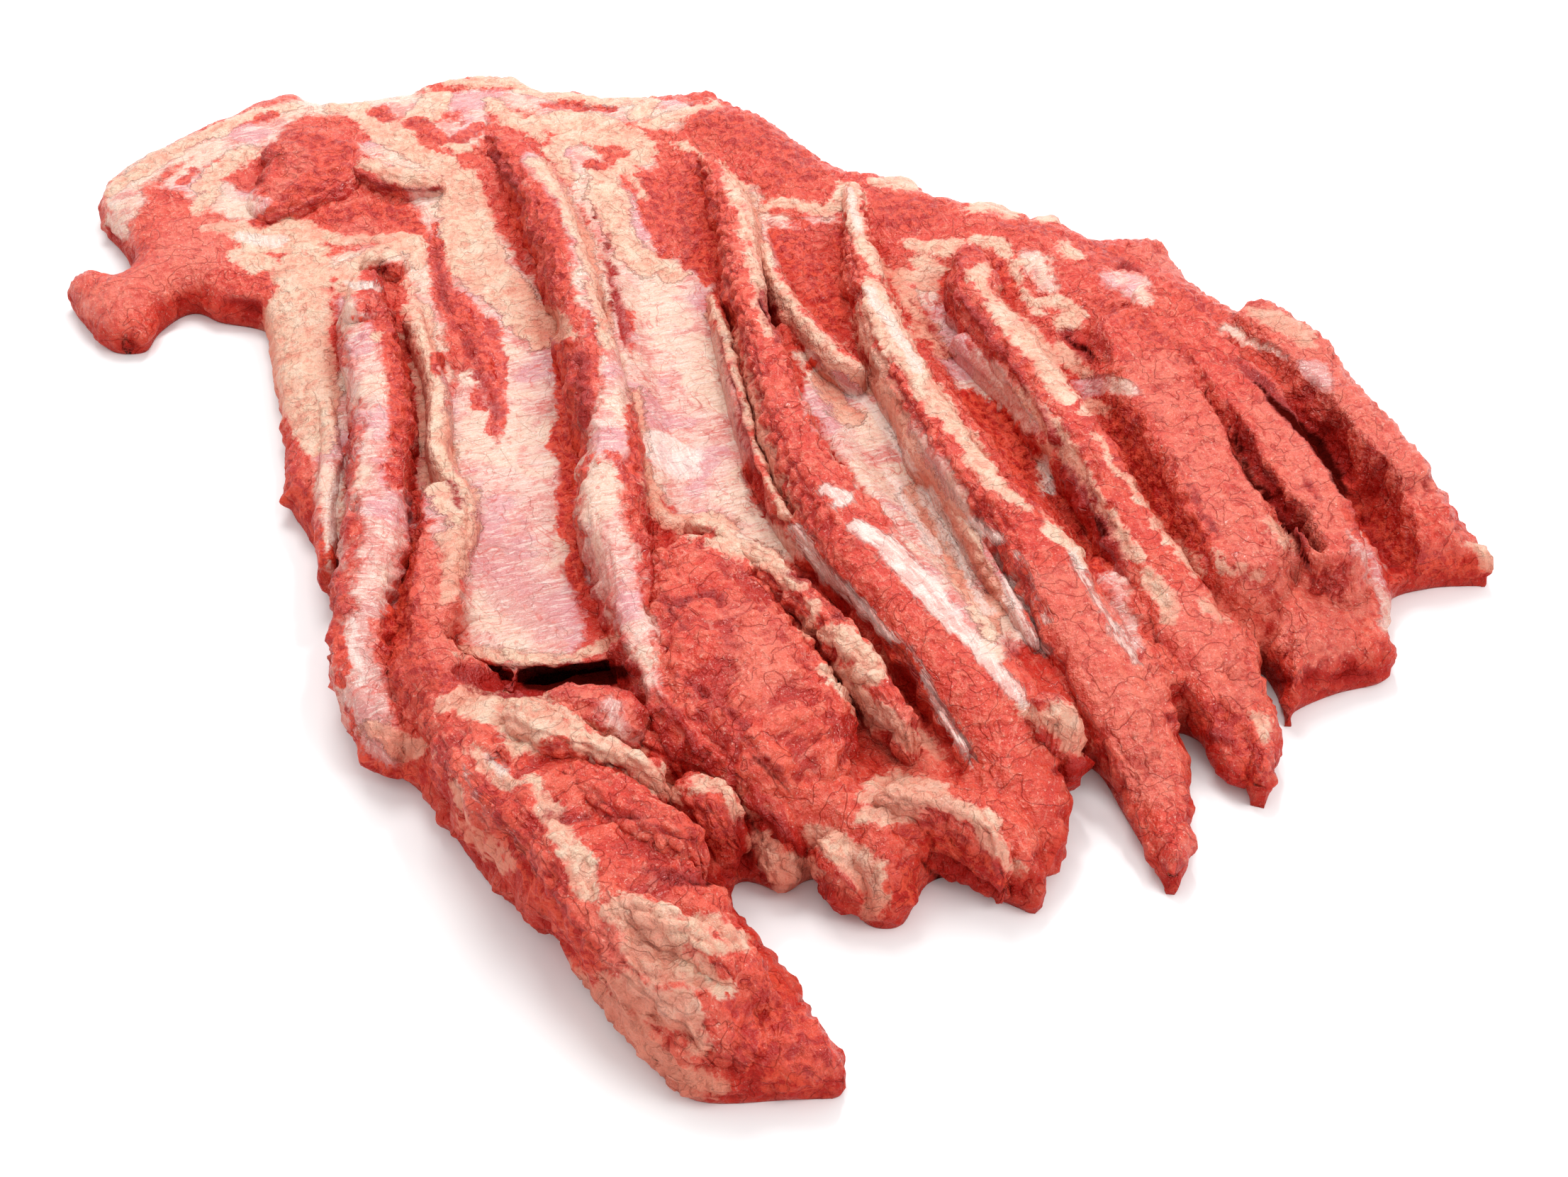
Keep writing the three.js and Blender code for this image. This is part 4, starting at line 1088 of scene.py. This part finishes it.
def stretched(vector, *scale):
    return result("Mapping", {"Vector": vector, "Scale": scale})


def colour(red, green, blue):
    """A screen colour of 0 to 255 as the renderer's linear colour."""
    parts = [c / 255 for c in (red, green, blue)]
    return (*[c / 12.92 if c <= 0.04 else ((c + 0.055) / 1.055) ** 2.4 for c in parts], 1)


def layered(base, *layers):
    """Mixes colours over a base, one after another. Each layer is a share and a screen colour."""
    for share, *screen in layers:
        base = blended(share, base, colour(*screen))
    return base


def thin_lines(scale, width):
    """Winding lines, where a noise passes through its middle."""
    return between(calc("ABSOLUTE", less(noise(place, scale, 2, 0.5, 0.6), 0.5)), width, 0.0)


place = result("TexCoord", {}, "Object")
run = stored("run", "Vector")
relief = stored("relief")
sunk = stored("sunk")
flank = stored("flank")
high = result("SeparateXYZ", {0: place}, "Z")
broad = noise(place, 24, 3)
medium = noise(place, 70, 4, 0.65)
small = noise(place, 210, 3, 0.65)
fine = noise(place, 650, 3, 0.65)
fibres = noise(stretched(run, 700, 60, 300), 1.0, 3, 0.6, 0.4)
ripples = noise(stretched(run, 90, 600, 300), 1.0, 3, 0.6, 0.6)
grains = cells_of(place, 300)
lobules = cells_of(place, 120)
# thin creases, grooved by the bump and painted dark as their shade
creases = thin_lines(62, 0.014)
veins = thin_lines(40, 0.008)
torn = plus(times(less(medium, 0.5), 16.0), times(less(small, 0.5), 9.0))
torn = plus(torn, times(less(fine, 0.5), 3.0))
combed = plus(times(less(fibres, 0.5), 9.0), times(torn, 0.4))
borders = {
    "fat": (torn, -2.4, 0.6), "white": (combed, -1.6, 1.6), "film": (torn, -4.0, 2.5),
    "red": (torn, -1.2, 1.4), "deep": (torn, -2.0, 3.0), "pale": (torn, -8.0, 6.0),
    "pit": (times(torn, 0.3), -0.5, 2.0),
}
masks = {}
for label, (tearing, nothing, full) in borders.items():
    masks[label] = between(plus(stored(label), tearing), nothing, full)
thick = between(plus(stored("fat"), torn), -2.5, 2.0)
# how far a place lies sunk in a hollow, used for painted shade there
hollow_shade = between(plus(sunk, times(torn, 0.4)), 1.5, 9.0)

lean = layered(
    colour(208, 60, 42),
    (between(broad, 0.35, 0.65), 216, 80, 58),
    # faded lean, and painted light on slopes that the lamps leave shaded
    (times(masks["pale"], 0.85), 217, 104, 86),
    (between(small, 0.51, 0.6, 0, 0.6), 228, 114, 92),
    (between(medium, 0.5, 0.66, 0, 0.5), 202, 48, 32),
    (between(small, 0.46, 0.36, 0, 0.5), 188, 36, 25),
    (between(grains, 0.4, 0.75, 0, 0.45), 184, 32, 22),
    # painted light on kernel tops and painted shade in the creases between them
    (between(relief, 0.2, 1.1, 0, 0.4), 228, 104, 80),
    (between(relief, -0.7, -2.0, 0, 0.8), 172, 22, 14),
    (between(fibres, 0.56, 0.68, 0, 0.35), 234, 144, 124),
    # pale specks: grain, and painted glints
    (between(fine, 0.6, 0.68, 0, 0.6), 238, 170, 152),
    # painted shade in thin creases
    (times(creases, 0.5), 160, 20, 14),
    # painted shade in hollows, weaker under the pale strokes
    (times(hollow_shade, between(masks["pale"], 0.0, 1.0, 0.5, 0.1)), 168, 22, 14))
raw = layered(
    colour(176, 32, 24),
    (between(small, 0.42, 0.56), 212, 72, 50),
    (between(grains, 0.4, 0.75, 0, 0.4), 164, 24, 16),
    (between(fibres, 0.52, 0.72, 0, 0.3), 232, 132, 112))
skin = layered(
    colour(206, 134, 124),
    (between(medium, 0.42, 0.56), 218, 180, 166),
    (between(broad, 0.5, 0.57, 0, 0.85), 222, 194, 172),
    (between(broad, 0.46, 0.4, 0, 0.7), 200, 140, 148),
    (times(masks["pale"], 0.75), 192, 124, 122),
    (between(ripples, 0.52, 0.64, 0, 0.6), 230, 212, 200),
    (between(ripples, 0.44, 0.36, 0, 0.4), 202, 120, 114),
    (between(small, 0.44, 0.34, 0, 0.4), 204, 98, 82),
    # painted glints on the wet film
    (between(fine, 0.6, 0.7, 0, 0.45), 236, 224, 214),
    (times(veins, 0.6), 196, 76, 64),
    # painted shade on steep sides
    (times(flank, 0.5), 208, 120, 108))
skinned = blended(times(masks["film"], 0.92), lean, skin)
cream = layered(
    colour(219, 152, 128),
    (between(small, 0.36, 0.58), 226, 186, 159),
    (less(1.0, thick), 220, 156, 137),
    (between(medium, 0.5, 0.62, 0, 0.7), 231, 204, 180),
    (between(lobules, 0.45, 0.8, 0, 0.5), 219, 132, 107),
    # painted shade in the dips of the fat
    (between(relief, 0.4, -0.9, 0, 0.5), 216, 124, 100),
    (times(veins, 0.4), 208, 100, 80),
    # painted shade on steep sides, reddish as under translucent fat
    (times(flank, 0.75), 224, 136, 112),
    # painted shade in hollows
    (times(hollow_shade, 0.5), 208, 102, 80),
    (times(masks["pale"], 0.5), 215, 130, 108))
flesh = blended(times(masks["fat"], 0.94), skinned, cream)
flesh = layered(flesh, (times(masks["white"], between(fibres, 0.38, 0.58, 0.95, 0.5)), 230, 210, 200))
flesh = blended(masks["red"], flesh, raw)
flesh = layered(
    flesh,
    # painted contact shadow: darker near the table
    (between(high, 0.014, 0.002, 0, 0.5), 160, 26, 18),
    # painted shade in the creases
    (masks["deep"], 156, 22, 14),
    # painted shade: holes and clefts near black
    (masks["pit"], 66, 8, 5))
put(flesh, shader.inputs["Base Color"])
wet = times(calc("MAXIMUM", masks["film"], masks["white"]), less(1.0, masks["fat"]))
put(between(wet, 0.0, 1.0, 0.46, 0.24), shader.inputs["Roughness"])
dry = times(less(1.0, masks["pit"]), between(hollow_shade, 0.0, 1.0, 1.0, 0.3))
put(times(dry, 0.26), shader.inputs["Specular IOR Level"])
put(times(dry, 0.3), shader.inputs["Coat Weight"])
shader.inputs["Subsurface Weight"].default_value = 0.15
shader.inputs["Subsurface Radius"].default_value = (0.005, 0.0012, 0.0008)
shader.inputs["Subsurface Scale"].default_value = 1.0
shader.inputs["Coat Roughness"].default_value = 0.12

rise = plus(times(fine, 0.4), times(small, 1.4))
rise = plus(rise, medium)
rise = less(rise, times(grains, 0.8))
rise = less(rise, times(times(lobules, thick), 0.7))
rise = less(rise, times(creases, 0.25))
rise = times(rise, between(wet, 0.0, 1.0, 1.0, 0.45))
rise = plus(rise, times(ripples, 0.35))
rise = plus(rise, times(times(thick, less(1.0, masks["red"])), 0.16))
bump = result("Bump", {"Height": rise, "Strength": 0.95, "Distance": 0.0023}, "Normal")
put(bump, shader.inputs["Normal"])
put(bump, shader.inputs["Coat Normal"])
for piece in pieces:
    piece.data.materials.append(meat)
print("material nodes", len(nodes))
